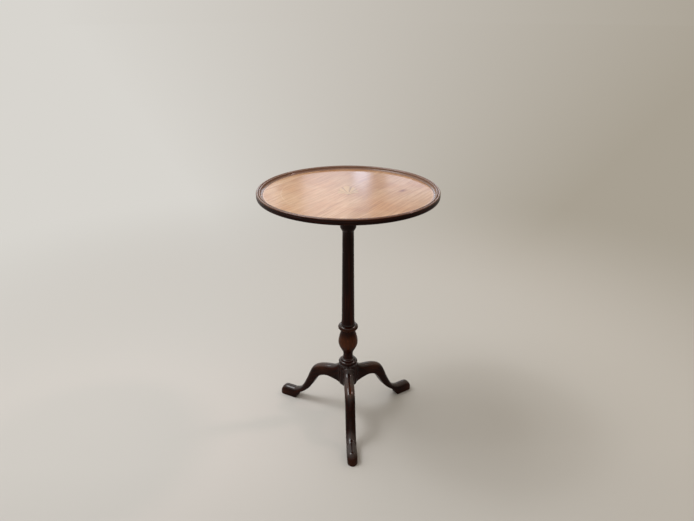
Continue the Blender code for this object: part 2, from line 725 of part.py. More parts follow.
def make_bearers():
    half = BEARER_LENGTH / 2
    flat = half - BEARER_END_LENGTH
    full = flat - BEARER_TAPER_LENGTH
    top = UNDERSIDE_Z - GAP
    thin = top - BEARER_END_DEPTH
    thick = top - BEARER_DEPTH
    outline = [(-half, top), (-half, thin + BEARER_END_SLOPE), (-flat, thin), (-full, thick)]
    outline += [(-y, z) for y, z in outline[::-1]]
    depth = TRUNNION_LENGTH + 2 * GAP
    for name, side in (("bearer_left", -1), ("bearer_right", 1)):
        place = Matrix.Translation((side * BEARER_X, 0.0, 0.0)) @ UPRIGHT_YZ
        bearer = sawn(name, outline, BEARER_WIDTH, place)
        face = side * (BEARER_X - BEARER_WIDTH / 2)
        seat = Matrix.Translation((face, HINGE_Y, HINGE_Z)) @ Matrix.Rotation(math.radians(90 * side), 4, "Y")
        cut(bearer, cylinder("trunnion_hole", TRUNNION_RADIUS + GAP, -OVERCUT, depth, 2 * SMALL_STEPS, seat))
        for screw_place in bearer_screw_places():
            if screw_place.translation.x * side > 0:
                cut(bearer, screw_hole(BEARER_SCREW, screw_place))
        part(bearer, name, mahogany)
    for number, place in enumerate(bearer_screw_places(), 1):
        screw(f"bearer_screw_{number}", BEARER_SCREW, place, steel)


def catch_screw_places():
    height = UNDERSIDE_Z - GAP - FLANGE_THICKNESS
    for side in (-1, 1):
        yield Matrix.Translation((side * CATCH_SCREW_SPACING / 2, (BOLT_TIP_Y + CASE_END_Y) / 2, height))


def make_top():
    edge = TOP_RADIUS - RIM_SEAT - GAP
    profile = [(0.0, BOARD_Z), (edge, BOARD_Z), (edge, bevel_height(RIM_SEAT + GAP))]
    profile += [(TOP_RADIUS - BEVEL_REACH, UNDERSIDE_Z), (0.0, UNDERSIDE_Z)]
    board = turned("board", profile, RIM_STEPS)
    for place in bearer_screw_places():
        cut(board, screw_hole(BEARER_SCREW, place))
    for place in catch_screw_places():
        cut(board, screw_hole(CATCH_SCREW, place))
    part(board, "top_board", mahogany)
    part(turned("rim", rim_profile(), RIM_STEPS, ring=True), "rim_moulding", mahogany)

    field = cylinder("field", TOP_RADIUS - RIM_WIDTH - GAP, VENEER_Z, FIELD_Z, RIM_STEPS)
    lifted = Matrix.Translation((0.0, 0.0, (VENEER_Z + FIELD_Z) / 2))
    cut(field, sawn("shell_pocket", shell_pocket(), VENEER_THICKNESS + OVERCUT, lifted))
    at_boss = Matrix.Translation((0.0, SHELL_BASE_Y, 0.0))
    room = (VENEER_Z - OVERCUT, FIELD_Z + OVERCUT)
    cut(field, cylinder("boss_pocket", SHELL_BOSS_RADIUS, *room, 2 * SMALL_STEPS, at_boss))
    part(field, "field_veneer", veneer)
    for number in range(SHELL_RAYS):
        ray = sawn("ray", shell_ray(number), VENEER_THICKNESS, lifted)
        part(ray, f"inlay_ray_{number + 1}", boxwood)
    boss = cylinder("boss", SHELL_BOSS_RADIUS - GAP, VENEER_Z, FIELD_Z, 2 * SMALL_STEPS, at_boss)
    part(boss, "inlay_base", boxwood)


def knob_profile():
    """The knob under the bolt: a stem through the case's slot, and a ball."""
    ball = CASE_Z - KNOB_STEM_RADIUS - KNOB_RADIUS
    neck = math.degrees(math.acos(KNOB_STEM_RADIUS / KNOB_RADIUS))
    profile = [(0.0, BOLT_Z + KNOB_SEAT - GAP), (KNOB_STEM_RADIUS, BOLT_Z + KNOB_SEAT - GAP)]
    profile += arc((0.0, ball), (KNOB_RADIUS, KNOB_RADIUS), neck, -75, 6)
    profile.append((0.0, ball - KNOB_RADIUS))
    return profile


def spring_points(start, end):
    """One unbroken coil along Y. Prints the least gap between its turns, measured on its points."""
    count = SPRING_TURNS * SPRING_POINTS_PER_TURN
    height = BOLT_Z + BOLT_THICKNESS / 2
    points = []
    for i in range(count + 1):
        angle = 2 * math.pi * i / SPRING_POINTS_PER_TURN
        along = start + (end - start) * i / count
        x = SPRING_RADIUS * math.cos(angle)
        points.append(Vector((x, along, height + SPRING_RADIUS * math.sin(angle))))
    next_turn = points[SPRING_POINTS_PER_TURN:]
    nearest = min((a - b).length for a, b in zip(points, next_turn))
    print(f"least gap between the spring's turns: {1000 * (nearest - 2 * SPRING_WIRE_RADIUS):.2f} mm")
    return points


def make_spring():
    margin = GAP + SPRING_WIRE_RADIUS
    curve = bpy.data.curves.new("spring", "CURVE")
    curve.dimensions = "3D"
    curve.bevel_depth = SPRING_WIRE_RADIUS
    curve.bevel_resolution = 1
    curve.use_fill_caps = True
    points = spring_points(BOLT_END_Y + margin, CASE_END_Y - CASE_WALL - margin)
    spline = curve.splines.new("POLY")
    spline.points.add(len(points) - 1)
    for point, place in zip(spline.points, points):
        point.co = (*place, 1.0)
    part(plain(helper("spring", curve)), "catch_spring", steel)


def make_catch():
    half = BOLT_WIDTH / 2
    inner = half + GAP
    outer = inner + CASE_WALL
    top = UNDERSIDE_Z - GAP
    case = box("case", (-outer, BOLT_TIP_Y, CASE_Z), (outer, CASE_END_Y, top - FLANGE_THICKNESS / 3))
    low = (-FLANGE_WIDTH / 2, BOLT_TIP_Y + FLANGE_MARGIN, top - FLANGE_THICKNESS)
    join(case, box("flange", low, (FLANGE_WIDTH / 2, CASE_END_Y - FLANGE_MARGIN, top)))
    low = (-inner, BOLT_TIP_Y - OVERCUT, BOLT_Z - GAP)
    cut(case, box("bolt_way", low, (inner, CASE_END_Y - CASE_WALL, BOLT_TOP_Z + GAP)))
    slot = KNOB_STEM_RADIUS + GAP
    low = (-slot, KNOB_Y - BOLT_THROW - slot, CASE_Z - OVERCUT)
    cut(case, box("knob_slot", low, (slot, KNOB_Y + slot, BOLT_Z)))
    for place in catch_screw_places():
        cut(case, screw_hole(CATCH_SCREW, place))
    part(case, "catch_case", brass)
    for number, place in enumerate(catch_screw_places(), 1):
        screw(f"catch_screw_{number}", CATCH_SCREW, place, brass)

    nose = BOLT_Z + BOLT_BEVEL
    outline = [(BOLT_END_Y, BOLT_Z), (BOLT_END_Y, BOLT_TOP_Z), (BOLT_TIP_Y, BOLT_TOP_Z), (BOLT_TIP_Y, nose)]
    outline.append((BOLT_TIP_Y + BOLT_BEVEL, BOLT_Z))
    bolt = sawn("bolt", outline, BOLT_WIDTH, UPRIGHT_YZ)
    at_knob = Matrix.Translation((0.0, KNOB_Y, 0.0))
    seat = (BOLT_Z - OVERCUT, BOLT_Z + KNOB_SEAT)
    cut(bolt, cylinder("knob_seat", KNOB_STEM_RADIUS + GAP, *seat, SMALL_STEPS, at_knob))
    part(bolt, "catch_bolt", brass)
    part(turned("knob", knob_profile(), SMALL_STEPS, place=at_knob), "catch_knob", brass)
    make_spring()


def hang_on(empty_name, place, names, parent=None):
    """Parents pieces to an empty on their joint's axis, leaving them where they are."""
    empty = bpy.data.objects.new(empty_name, None)
    table.objects.link(empty)
    empty.location = place
    bpy.context.view_layer.update()
    for piece in table.objects:
        if piece.type == "MESH" and piece.name.startswith(names):
            piece.parent = empty
            piece.matrix_parent_inverse = empty.matrix_world.inverted()
    if parent:
        empty.parent = parent
        empty.matrix_parent_inverse = parent.matrix_world.inverted()
    return empty


for old in list(bpy.data.objects):
    bpy.data.objects.remove(old, do_unlink=True)

table = new_collection("tripod_table")
cutters = new_collection("cutters")
cutters.hide_render = True

mahogany = finish("polished_mahogany", "3d2016", 0.28)
veneer = finish("faded_veneer", "b5885c", 0.30)
boxwood = finish("boxwood", "d8bd8c", 0.35)
brass = finish("brass", "a8863f", 0.35, 1.0)
steel = finish("steel", "8b8985", 0.40, 1.0)
iron = finish("iron", "3b3a38", 0.60, 1.0)

make_pillar()
make_legs()
make_strap()
make_block()
make_top()
make_bearers()
make_catch()
on_the_top = ("top_", "rim_", "field_", "inlay_", "bearer_", "catch_")
hinge = hang_on("top_hinge", (0.0, HINGE_Y, HINGE_Z), on_the_top)
bolt_middle = (0.0, (BOLT_TIP_Y + BOLT_END_Y) / 2, (BOLT_Z + BOLT_TOP_Z) / 2)
hang_on("catch_slide", bolt_middle, ("catch_bolt", "catch_knob"), hinge)
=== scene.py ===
"""Finish of the tripod table: polished mahogany, faded veneer with a shell inlay, aged brass and forged iron.

Metres, +Z up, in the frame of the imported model. The front leg points along -Y.
"""

import math

import bmesh
import bpy
import numpy as np
from mathutils import Matrix, Vector


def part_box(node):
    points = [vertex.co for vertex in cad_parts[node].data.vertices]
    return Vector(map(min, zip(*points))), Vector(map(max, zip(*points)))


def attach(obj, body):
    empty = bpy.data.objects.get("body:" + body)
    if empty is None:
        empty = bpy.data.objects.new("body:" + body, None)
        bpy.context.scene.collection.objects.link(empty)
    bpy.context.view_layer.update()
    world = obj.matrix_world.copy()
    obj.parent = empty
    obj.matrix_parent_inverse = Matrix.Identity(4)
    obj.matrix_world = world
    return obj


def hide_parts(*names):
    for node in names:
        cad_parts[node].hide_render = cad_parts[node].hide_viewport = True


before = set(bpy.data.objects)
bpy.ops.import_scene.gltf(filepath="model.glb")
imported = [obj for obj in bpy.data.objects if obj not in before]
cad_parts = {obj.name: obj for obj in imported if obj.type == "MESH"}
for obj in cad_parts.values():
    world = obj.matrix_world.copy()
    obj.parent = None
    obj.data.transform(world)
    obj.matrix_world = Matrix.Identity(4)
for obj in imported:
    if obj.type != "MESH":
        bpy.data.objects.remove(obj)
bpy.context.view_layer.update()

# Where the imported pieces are
RIM_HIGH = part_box("rim_moulding")[1]
BOARD_LOW, BOARD_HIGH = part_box("top_board")
VENEER_LOW, VENEER_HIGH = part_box("field_veneer")
BLOCK_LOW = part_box("tilt_block")[0]
PILLAR_LOW, PILLAR_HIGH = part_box("pillar")
WEDGE_LOW, WEDGE_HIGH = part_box("tenon_wedge")
SPRING_LOW, SPRING_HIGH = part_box("catch_spring")
KNOB_LOW, KNOB_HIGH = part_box("catch_knob")

# Sizes shared with the construction
GAP = 0.0003
OVERCUT = 0.004
TOP_RADIUS = RIM_HIGH.x
CREST_Z = RIM_HIGH.z
FIELD_Z = VENEER_HIGH.z
VENEER_Z = VENEER_LOW.z
UNDERSIDE_Z = BOARD_LOW.z
RIM_WIDTH = 0.017
FIELD_RADIUS = TOP_RADIUS - RIM_WIDTH - GAP
RIM_SEAT = 0.012
RIM_FACE = 0.0142
BAND_FOOT_Z = CREST_Z - RIM_FACE
BEVEL_REACH = 0.034
ROLL_RADIUS = 0.003
BEAD_RADIUS = 0.00175
QUIRK = 0.0006
BAND_SWELL = 0.0014

SHELL_RAYS = 7
SHELL_SPREAD = math.radians(164)
SHELL_START = -SHELL_SPREAD / 2
RAY_SPREAD = SHELL_SPREAD / SHELL_RAYS
SHELL_HALF_WIDTH = 0.0275
SHELL_LENGTH = 0.068
SHELL_SCALLOP = 0.10
SHELL_BOSS_RADIUS = 0.0085
SHELL_BASE_Y = -0.016

HUB_Z = PILLAR_LOW.z
HUB_RADIUS = 0.026
HUB_LENGTH = 0.0615
HUB_QUIRK = 0.0012
RECESS_HEIGHT = 0.0043
RECESS_RADIUS = 0.0238
BASE_BEAD_HEIGHT = 0.0122
BASE_BEAD_RADIUS = 0.027
STEP_HEIGHT = 0.0052
STEP_RADIUS = 0.021
STEP_ROUND = 0.0048
COVE_HEIGHT = 0.0061
NECK_LENGTH = 0.0083
NECK_RADIUS = 0.0138
VASE_RISE = 0.0415
VASE_RADIUS = 0.0276
VASE_SHOULDER = 0.0304
VASE_TOP_RADIUS = 0.0211
KNOP_NECK = 0.009
KNOP_LOWER = 0.0073
KNOP_UPPER = 0.008
KNOP_RADIUS = 0.0282
FILLET_HEIGHT = 0.0143
FILLET_RADIUS = 0.0194
SHAFT_FOOT_RADIUS = 0.0179
SHAFT_TOP_RADIUS = 0.0155
FLARE_HEIGHT = 0.012
COLLAR_RADIUS = 0.0217
COLLAR_HEIGHT = 0.048
TENON_RADIUS = 0.0125

LEG_AZIMUTHS = {"leg_front": -90.0, "leg_right": 30.0, "leg_left": 150.0}
LEG_REACH = 0.2345
LEG_WIDTH = 0.028
HIP_DEPTH = 0.055
THIGH_DEPTH = 0.0345
KNEE_DEPTH = 0.0335
SHIN_DEPTH = 0.0255
ANKLE_DEPTH = 0.016
FOOT_DEPTH = 0.033
TOE_SHARE = 0.892
TOE_SWEEP = math.radians(82)
TOE_TIP_SHARE = 0.3
CROWN_ROUND = 0.012
UNDER_ROUND = 0.002
SHOULDER_ROUND = 0.020
FAIRING_REACH = 0.018
FAIRING_RISE = 0.0063
SOCKET_DEPTH = 0.012
SOCKET_HEIGHT = 0.046
DOVETAIL_NECK = 0.010
DOVETAIL_TAIL = 0.014
DOVETAIL_LIFT = 0.002

KNOB_RADIUS = 0.0045
KNOB_STEM_RADIUS = 0.0016
SPRING_RADIUS = 0.0018
SPRING_WIRE_RADIUS = 0.00035
SPRING_TURNS = 7

# Screws: radius and depth of the head, radius of the shank, whole length
SCREW_SIZES = ("Head Radius", "Head Depth", "Shank Radius", "Length")
BEARER_SCREW = (0.0036, 0.0024, 0.0019, 0.019)
CATCH_SCREW = (0.0028, 0.0018, 0.0015, 0.011)
KEEPER_SCREW = (0.0022, 0.0012, 0.0011, 0.011)
STRAP_SCREW = (0.0032, 0.0020, 0.0017, 0.016)
SCREW_TIP_RADIUS = 0.0003
# A screw's slot, in radii of its head
SLOT_LENGTH = 3.0
SLOT_WIDTH = 0.32

# Facets of the finished pieces
LATHE_STEPS = 128
RIM_STEPS = 240
BOSS_STEPS = 64
RAY_POINTS = 25
TOE_STEPS = 12
WELD = 0.000002
PACKED_WELD = 0.000005

# Marks on the timber
VENEER_SLANT = math.radians(-54)
KNOT_PLACE = (0.141, 0.002)
SCRATCH_RADIUS = 0.172
LEG_GRAIN = (0.867, 0.0, -0.498)
NEXT_LEG_GRAIN = 0.37
RUBBED_CREST_DEPTH = 0.0035
RUBBED_AND_SHEEN_EDGE_WIDTH = 0.002
RUBBED_VASE_Z = 0.25
RUBBED_RINGS_Z = 0.26
RUBBED_KNEE_REACH = 0.095
# How far upwards a face looks where the wax starts to shine, and where it shines most
WAX_START = 0.4
WAX_FULL = 0.75

# The studio
BACKDROP_LEFT = "#d8d5cf"
BACKDROP_MIDDLE = "#c8c3bb"
BACKDROP_RIGHT = "#a8a092"
FRONT_SHARE = 0.8
CEILING_SHARE = 1.28
FLOOR_LEFT = "#d0cecb"
FLOOR_RIGHT = "#cfcac3"

# Settings that nodes share: a colour laid over another, a colour times another, a product, a soft range
BLEND = {"data_type": "RGBA"}
TINT = {"data_type": "RGBA", "blend_type": "MULTIPLY"}
TIMES = {"operation": "MULTIPLY"}
SOFT = {"interpolation_type": "SMOOTHSTEP"}

# The old polish on the veneer and its inlay
OLD_POLISH = {"IOR": 1.3, "Coat Weight": 0.5, "Coat Roughness": 0.16}


def rgb(colour):
    """Linear colour from an sRGB hex value."""
    parts = [int(colour[i : i + 2], 16) / 255 for i in (1, 3, 5)]
    return [p / 12.92 if p <= 0.04045 else ((p + 0.055) / 1.055) ** 2.4 for p in parts] + [1.0]


def fill(tree, node, inputs):
    """Sets a node's inputs, by name or in order. A socket is linked, and so is a node's first live output."""
    for name, value in inputs.items() if isinstance(inputs, dict) else enumerate(inputs):
        if isinstance(value, bpy.types.Node):
            value = next(socket for socket in value.outputs if socket.enabled)
        if isinstance(value, bpy.types.NodeSocket):
            tree.links.new(value, node.inputs[name])
        else:
            node.inputs[name].default_value = value


def add(tree, kind, inputs=(), stops=(), **settings):
    """Adds a node with its settings and inputs, and a ramp's stops: position, and colour or grey level."""
    node = tree.nodes.new(kind)
    for name, value in settings.items():
        setattr(node, name, value)
    if stops:
        elements = node.color_ramp.elements
        while len(elements) < len(stops):
            elements.new(0.5)
        for element, (position, colour) in zip(elements, stops):
            element.position = position
            element.color = rgb(colour) if isinstance(colour, str) else [colour, colour, colour, 1.0]
    fill(tree, node, inputs)
    return node


def per_mm(*lengths):
    """A mapping scale that gives a texture one cycle in each of these lengths, in millimetres."""
    return [1000 / length for length in lengths]


def pattern(tree, place, lengths, stops, **noise):
    """An uneven pattern with a cycle in each of these lengths, in millimetres: its level and its colours."""
    sized = add(tree, "ShaderNodeMapping", {"Vector": place, "Scale": per_mm(*lengths)})
    level = add(tree, "ShaderNodeTexNoise", {"Vector": sized, "Scale": 1.0, **noise})
    return level, add(tree, "ShaderNodeValToRGB", {"Fac": level}, stops=stops)


def new_material(name):
    material = bpy.data.materials.new(name)
    material.use_nodes = True
    return material, material.node_tree, material.node_tree.nodes["Principled BSDF"]


def polished_mahogany():
    """French-polished mahogany, long darkened: near black-red, with brown ribbon grain under an even gloss.

    Open pores show as short dark dashes, and handling has rubbed the proud edges back to a warmer brown.
    """
    material, tree, shader = new_material("polished_mahogany")
    grain = add(tree, "ShaderNodeAttribute", attribute_name="grain").outputs["Vector"]
    wear = add(tree, "ShaderNodeAttribute", attribute_name="wear").outputs["Fac"]
    wax = add(tree, "ShaderNodeAttribute", attribute_name="wax").outputs["Fac"]

    # Ribbon grain about 3 mm wide, in clouds of about 40 by 110 mm
    browns = ((0.30, "#110402"), (0.52, "#240a04"), (0.74, "#411606"))
    ribbon, wood = pattern(tree, grain, (90, 3, 3), browns, Detail=4.0, Roughness=0.6)
    cloud, shade = pattern(tree, grain, (110, 40, 40), ((0.30, 0.55), (0.70, 1.0)), Detail=2.0)
    deep = add(tree, "ShaderNodeMix", {"Factor": 1.0, "A": wood, "B": shade}, **TINT)

    # Rubbed places, broken up along the grain: red-brown at first, and greyed where they are marked most,
    # which is a painted sheen on the rim's inner mouldings
    patchy = add(tree, "ShaderNodeMapRange", {"Value": ribbon, "To Min": 0.4, "To Max": 1.2})
    rub_and_sheen = add(tree, "ShaderNodeMath", [wear, patchy], **TIMES)
    wear_and_sheen_tone = add(tree, "ShaderNodeValToRGB", {"Fac": wear}, stops=((0.3, "#985833"), (0.8, "#8c6a58")))
    rubbed_and_sheened = add(tree, "ShaderNodeMix", {"Factor": rub_and_sheen, "A": deep, "B": wear_and_sheen_tone}, **BLEND)

    # Pores are a fraction of a millimetre wide: drawn at 0.8 by 14 mm so that they show
    _, pores = pattern(tree, grain, (14, 0.8, 0.8), ((0.34, 0.65), (0.44, 1.0)), Detail=1.0)
    looks = {
        "Base Color": add(tree, "ShaderNodeMix", {"Factor": 1.0, "A": rubbed_and_sheened, "B": pores}, **TINT),
        "Roughness": add(tree, "ShaderNodeMapRange", {"Value": cloud, "To Min": 0.2, "To Max": 0.34}),
        "Normal": add(tree, "ShaderNodeBump", {"Height": pores, "Strength": 0.12, "Distance": 0.0002}),
        "Coat Weight": add(tree, "ShaderNodeMapRange", {"Value": wax, "To Min": 0.08, "To Max": 0.9}),
    }
    fill(tree, shader, {**looks, "IOR": 1.12, "Coat IOR": 1.6, "Coat Roughness": 0.17})
    return material


def dry_mahogany():
    """Mahogany left off the polish, as under a table top: browner, dull, with the ripple of the plane."""
    material, tree, shader = new_material("dry_mahogany")
    grain = add(tree, "ShaderNodeAttribute", attribute_name="grain").outputs["Vector"]

    # Ribbon grain about 3.5 mm wide, stained in patches of about 60 by 150 mm
    browns = ((0.28, "#2c1710"), (0.50, "#472718"), (0.75, "#603a24"))
    ribbon, wood = pattern(tree, grain, (120, 3.5, 3.5), browns, Detail=5.0, Roughness=0.62)
    stain, shade = pattern(tree, grain, (150, 60, 60), ((0.30, 0.68), (0.65, 1.0)), Detail=3.0)

    # The plane leaves shallow tracks about 25 mm wide along the grain
    tracks = add(tree, "ShaderNodeMapping", {"Vector": grain, "Scale": per_mm(400, 25, 25)})
    ripple = add(tree, "ShaderNodeTexNoise", {"Vector": tracks, "Scale": 1.0, "Detail": 2.0})
    bump = add(tree, "ShaderNodeBump", {"Height": ripple, "Strength": 0.5, "Distance": 0.0012})
    grit = {"Height": ribbon, "Strength": 0.2, "Distance": 0.0002, "Normal": bump}
    looks = {
        "Base Color": add(tree, "ShaderNodeMix", {"Factor": 1.0, "A": wood, "B": shade}, **TINT),
        "Roughness": add(tree, "ShaderNodeMapRange", {"Value": stain, "To Min": 0.5, "To Max": 0.72}),
        "Normal": add(tree, "ShaderNodeBump", grit),
    }
    fill(tree, shader, {**looks, "IOR": 1.45})
    return material


def faded_veneer():
    """Mahogany veneer bleached by daylight to a golden tan: slanting streaks, a pin knot and old polish."""
    material, tree, shader = new_material("faded_veneer")
    place = add(tree, "ShaderNodeTexCoord").outputs["Object"]
    turned = add(tree, "ShaderNodeMapping", {"Vector": place, "Rotation": (0.0, 0.0, VENEER_SLANT)})

    # The streaks wander by up to 8 mm over 70 to 140 mm
    bend = add(tree, "ShaderNodeMapping", {"Vector": turned, "Scale": per_mm(140, 70, 70)})
    drift = add(tree, "ShaderNodeTexNoise", {"Vector": bend, "Scale": 1.0, "Detail": 1.0}).outputs["Color"]
    centred = add(tree, "ShaderNodeVectorMath", [drift, (0.5, 0.5, 0.5)], operation="SUBTRACT")
    sway = add(tree, "ShaderNodeVectorMath", {0: centred, "Scale": 0.016}, operation="SCALE")
    figure = add(tree, "ShaderNodeVectorMath", [turned, sway])

    # Streaks about 6 mm wide and fine lines about 1.2 mm wide, coarser than the real ones so that they show
    tans = ((0.30, "#ac7f56"), (0.50, "#c19971"), (0.72, "#d2ae89"))
    _, wood = pattern(tree, figure, (170, 6, 6), tans, Detail=4.0, Roughness=0.6)
    _, lines = pattern(tree, figure, (45, 1.2, 1.2), ((0.34, 0.84), (0.52, 1.0)), Detail=2.0)
    lined = add(tree, "ShaderNodeMix", {"Factor": 1.0, "A": wood, "B": lines}, **TINT)

    # Patches about 110 mm across, where the light has bleached it less
    bleach = ((0.38, "#ecd4b4"), (0.62, "#ffffff"))
    patch, fade = pattern(tree, place, (110, 110, 110), bleach, Detail=2.0)
    faded = add(tree, "ShaderNodeMix", {"Factor": 1.0, "A": lined, "B": fade}, **TINT)

    # Painted shade: the colour darkens by up to 13 percent towards the back right
    aside = add(tree, "ShaderNodeVectorMath", [place, (1.0, 1.0, 0.0)], operation="DOT_PRODUCT")
    painted_shade_range = {"Value": aside, "From Min": -0.06, "From Max": 0.1, "To Min": 1.0, "To Max": 0.87}
    painted_shade = add(tree, "ShaderNodeMapRange", painted_shade_range)
    with_painted_shade = add(tree, "ShaderNodeVectorMath", {0: faded, "Scale": painted_shade}, operation="SCALE")

    # A pin knot, drawn out along the grain to 22 by 11 mm
    knot_place = Matrix.Rotation(VENEER_SLANT, 3, "Z") @ Vector((*KNOT_PLACE, FIELD_Z))
    from_knot = add(tree, "ShaderNodeVectorMath", [turned, knot_place], operation="SUBTRACT")
    oval = add(tree, "ShaderNodeVectorMath", [from_knot, per_mm(22, 11, 11)], **TIMES)
    reach = add(tree, "ShaderNodeVectorMath", [oval], operation="LENGTH")
    rings = ((0.10, "#a07448"), (0.40, "#d2ae8c"), (1.0, "#ffffff"))
    knot = add(tree, "ShaderNodeValToRGB", {"Fac": reach}, stops=rings)
    grown = add(tree, "ShaderNodeMix", {"Factor": 1.0, "A": with_painted_shade, "B": knot}, **TINT)

    # A faint pale scratch, about 3 mm wide with its soft edges, that follows the rim on the left
    flat = add(tree, "ShaderNodeVectorMath", [place, (1.0, 1.0, 0.0)], **TIMES)
    radius = add(tree, "ShaderNodeVectorMath", [flat], operation="LENGTH")
    near = add(tree, "ShaderNodeMath", [radius, SCRATCH_RADIUS], operation="SUBTRACT")
    away = add(tree, "ShaderNodeMath", [near], operation="ABSOLUTE")
    width = {"Value": away, "From Min": 0.0004, "From Max": 0.0018, "To Min": 0.3, "To Max": 0.0}
    edge = add(tree, "ShaderNodeMapRange", width)
    worn = add(tree, "ShaderNodeMath", [edge, patch], **TIMES)
    side = add(tree, "ShaderNodeSeparateXYZ", [place]).outputs["X"]
    ends = {"Value": side, "From Min": -0.165, "From Max": -0.14, "To Min": 1.0, "To Max": 0.0}
    end = add(tree, "ShaderNodeMapRange", ends)
    scratch = add(tree, "ShaderNodeMath", [worn, end], **TIMES)
    marked = add(tree, "ShaderNodeMix", {"Factor": scratch, "A": grown, "B": rgb("#ecd8be")}, **BLEND)

    # The last 4 mm before the rim are painted paler and pinker in patches: a painted sheen at the field's
    # edge
    sheen_band = {"From Min": FIELD_RADIUS - 0.0045, "From Max": FIELD_RADIUS - 0.001, "To Max": 0.6}
    margin = add(tree, "ShaderNodeMapRange", {"Value": radius, **sheen_band})
    rubbed = add(tree, "ShaderNodeMath", [margin, patch], **TIMES)
    sheened = add(tree, "ShaderNodeMix", {"Factor": rubbed, "A": marked, "B": rgb("#e4cabd")}, **BLEND)
    looks = {
        "Base Color": sheened,
        "Roughness": add(tree, "ShaderNodeMapRange", {"Value": patch, "To Min": 0.30, "To Max": 0.46}),
        "Normal": add(tree, "ShaderNodeBump", {"Height": lines, "Strength": 0.08, "Distance": 0.0002}),
    }
    fill(tree, shader, {**looks, **OLD_POLISH})
    return material


def boxwood():
    """Boxwood inlay, cream and nearly grainless, with one edge of each ray scorched brown in hot sand."""
    material, tree, shader = new_material("boxwood")
    scorch = add(tree, "ShaderNodeAttribute", attribute_name="wear").outputs["Fac"]
    place = add(tree, "ShaderNodeTexCoord").outputs["Object"]
    creams = ((0.0, "#c19c68"), (0.5, "#b7915f"), (1.0, "#8e6642"))
    shaded = add(tree, "ShaderNodeValToRGB", {"Fac": scorch}, stops=creams)

    # Flecks about 2 mm wide and 12 mm long
    _, flecks = pattern(tree, place, (2, 12, 4), ((0.35, 0.88), (0.60, 1.0)), Detail=3.0)
    colour = add(tree, "ShaderNodeMix", {"Factor": 1.0, "A": shaded, "B": flecks}, **TINT)
    fill(tree, shader, {"Base Color": colour, "Roughness": 0.36, **OLD_POLISH})
    return material


def metal(name, bright, dull, gloss, patch_mm, ripple):
    """A metal that has dulled in patches: its bright and dull colours, its roughness range and its ripple."""
    material, tree, shader = new_material(name)
    place = add(tree, "ShaderNodeTexCoord").outputs["Object"]
    tarnish = ((0.36, bright), (0.66, dull))
    patch, colour = pattern(tree, place, [patch_mm] * 3, tarnish, Detail=5.0, Roughness=0.65)
    roughness = {"Value": patch, "To Min": gloss[0], "To Max": gloss[1]}
    looks = {
        "Base Color": colour,
        "Roughness": add(tree, "ShaderNodeMapRange", roughness),
        "Normal": add(tree, "ShaderNodeBump", {"Height": patch, "Strength": 0.4, "Distance": ripple}),
    }
    fill(tree, shader, {**looks, "Metallic": 1.0})
    return material


def new_tree(name, sockets):
    """A Geometry Nodes tree with these inputs. Gives the tree and the sockets of its group input node."""
    tree = bpy.data.node_groups.new(name, "GeometryNodeTree")
    tree.interface.new_socket("Geometry", in_out="OUTPUT", socket_type="NodeSocketGeometry")
    for label, kind in sockets.items():
        tree.interface.new_socket(label, in_out="INPUT", socket_type="NodeSocket" + kind)
    return tree, add(tree, "NodeGroupInput").outputs


def close_tree(tree, geometry, finish):
    real = add(tree, "GeometryNodeRealizeInstances", {"Geometry": geometry})
    painted = add(tree, "GeometryNodeSetMaterial", {"Geometry": real, "Material": finish})
    add(tree, "NodeGroupOutput", {"Geometry": painted})
    return tree


def turning_tree():
    """Sweeps a profile round the axis. Its x is the radius less the hoop's, and its -y is the height."""
    sockets = {"Profile": "Object", "Hoop": "Float", "Steps": "Int", "Finish": "Material"}
    tree, given = new_tree("turning", sockets)
    profile = add(tree, "GeometryNodeObjectInfo", {"Object": given["Profile"]}).outputs["Geometry"]
    lathe = {"Resolution": given["Steps"], "Radius": given["Hoop"]}
    hoop = add(tree, "GeometryNodeCurvePrimitiveCircle", lathe)
    level = add(tree, "GeometryNodeSetCurveNormal", {"Curve": hoop}, mode="Z_UP")
    swept = add(tree, "GeometryNodeCurveToMesh", {"Curve": level, "Profile Curve": profile})
    closed = add(tree, "GeometryNodeMergeByDistance", {"Geometry": swept, "Distance": WELD})
    return close_tree(tree, closed, given["Finish"])


def coil_tree():
    """A round wire wound into a coil that starts at the origin and rises along Z."""
    sizes = ("Coil Radius", "Wire Radius", "Length", "Turns")
    tree, given = new_tree("coil", {**dict.fromkeys(sizes, "Float"), "Finish": "Material"})
    ends = {"Start Radius": given["Coil Radius"], "End Radius": given["Coil Radius"]}
    winding = {"Resolution": 32, "Rotations": given["Turns"], "Height": given["Length"]}
    path = add(tree, "GeometryNodeCurveSpiral", {**ends, **winding})
    wire = add(tree, "GeometryNodeCurvePrimitiveCircle", {"Resolution": 12, "Radius": given["Wire Radius"]})
    wound = add(tree, "GeometryNodeCurveToMesh", {"Curve": path, "Profile Curve": wire, "Fill Caps": True})
    return close_tree(tree, wound, given["Finish"])


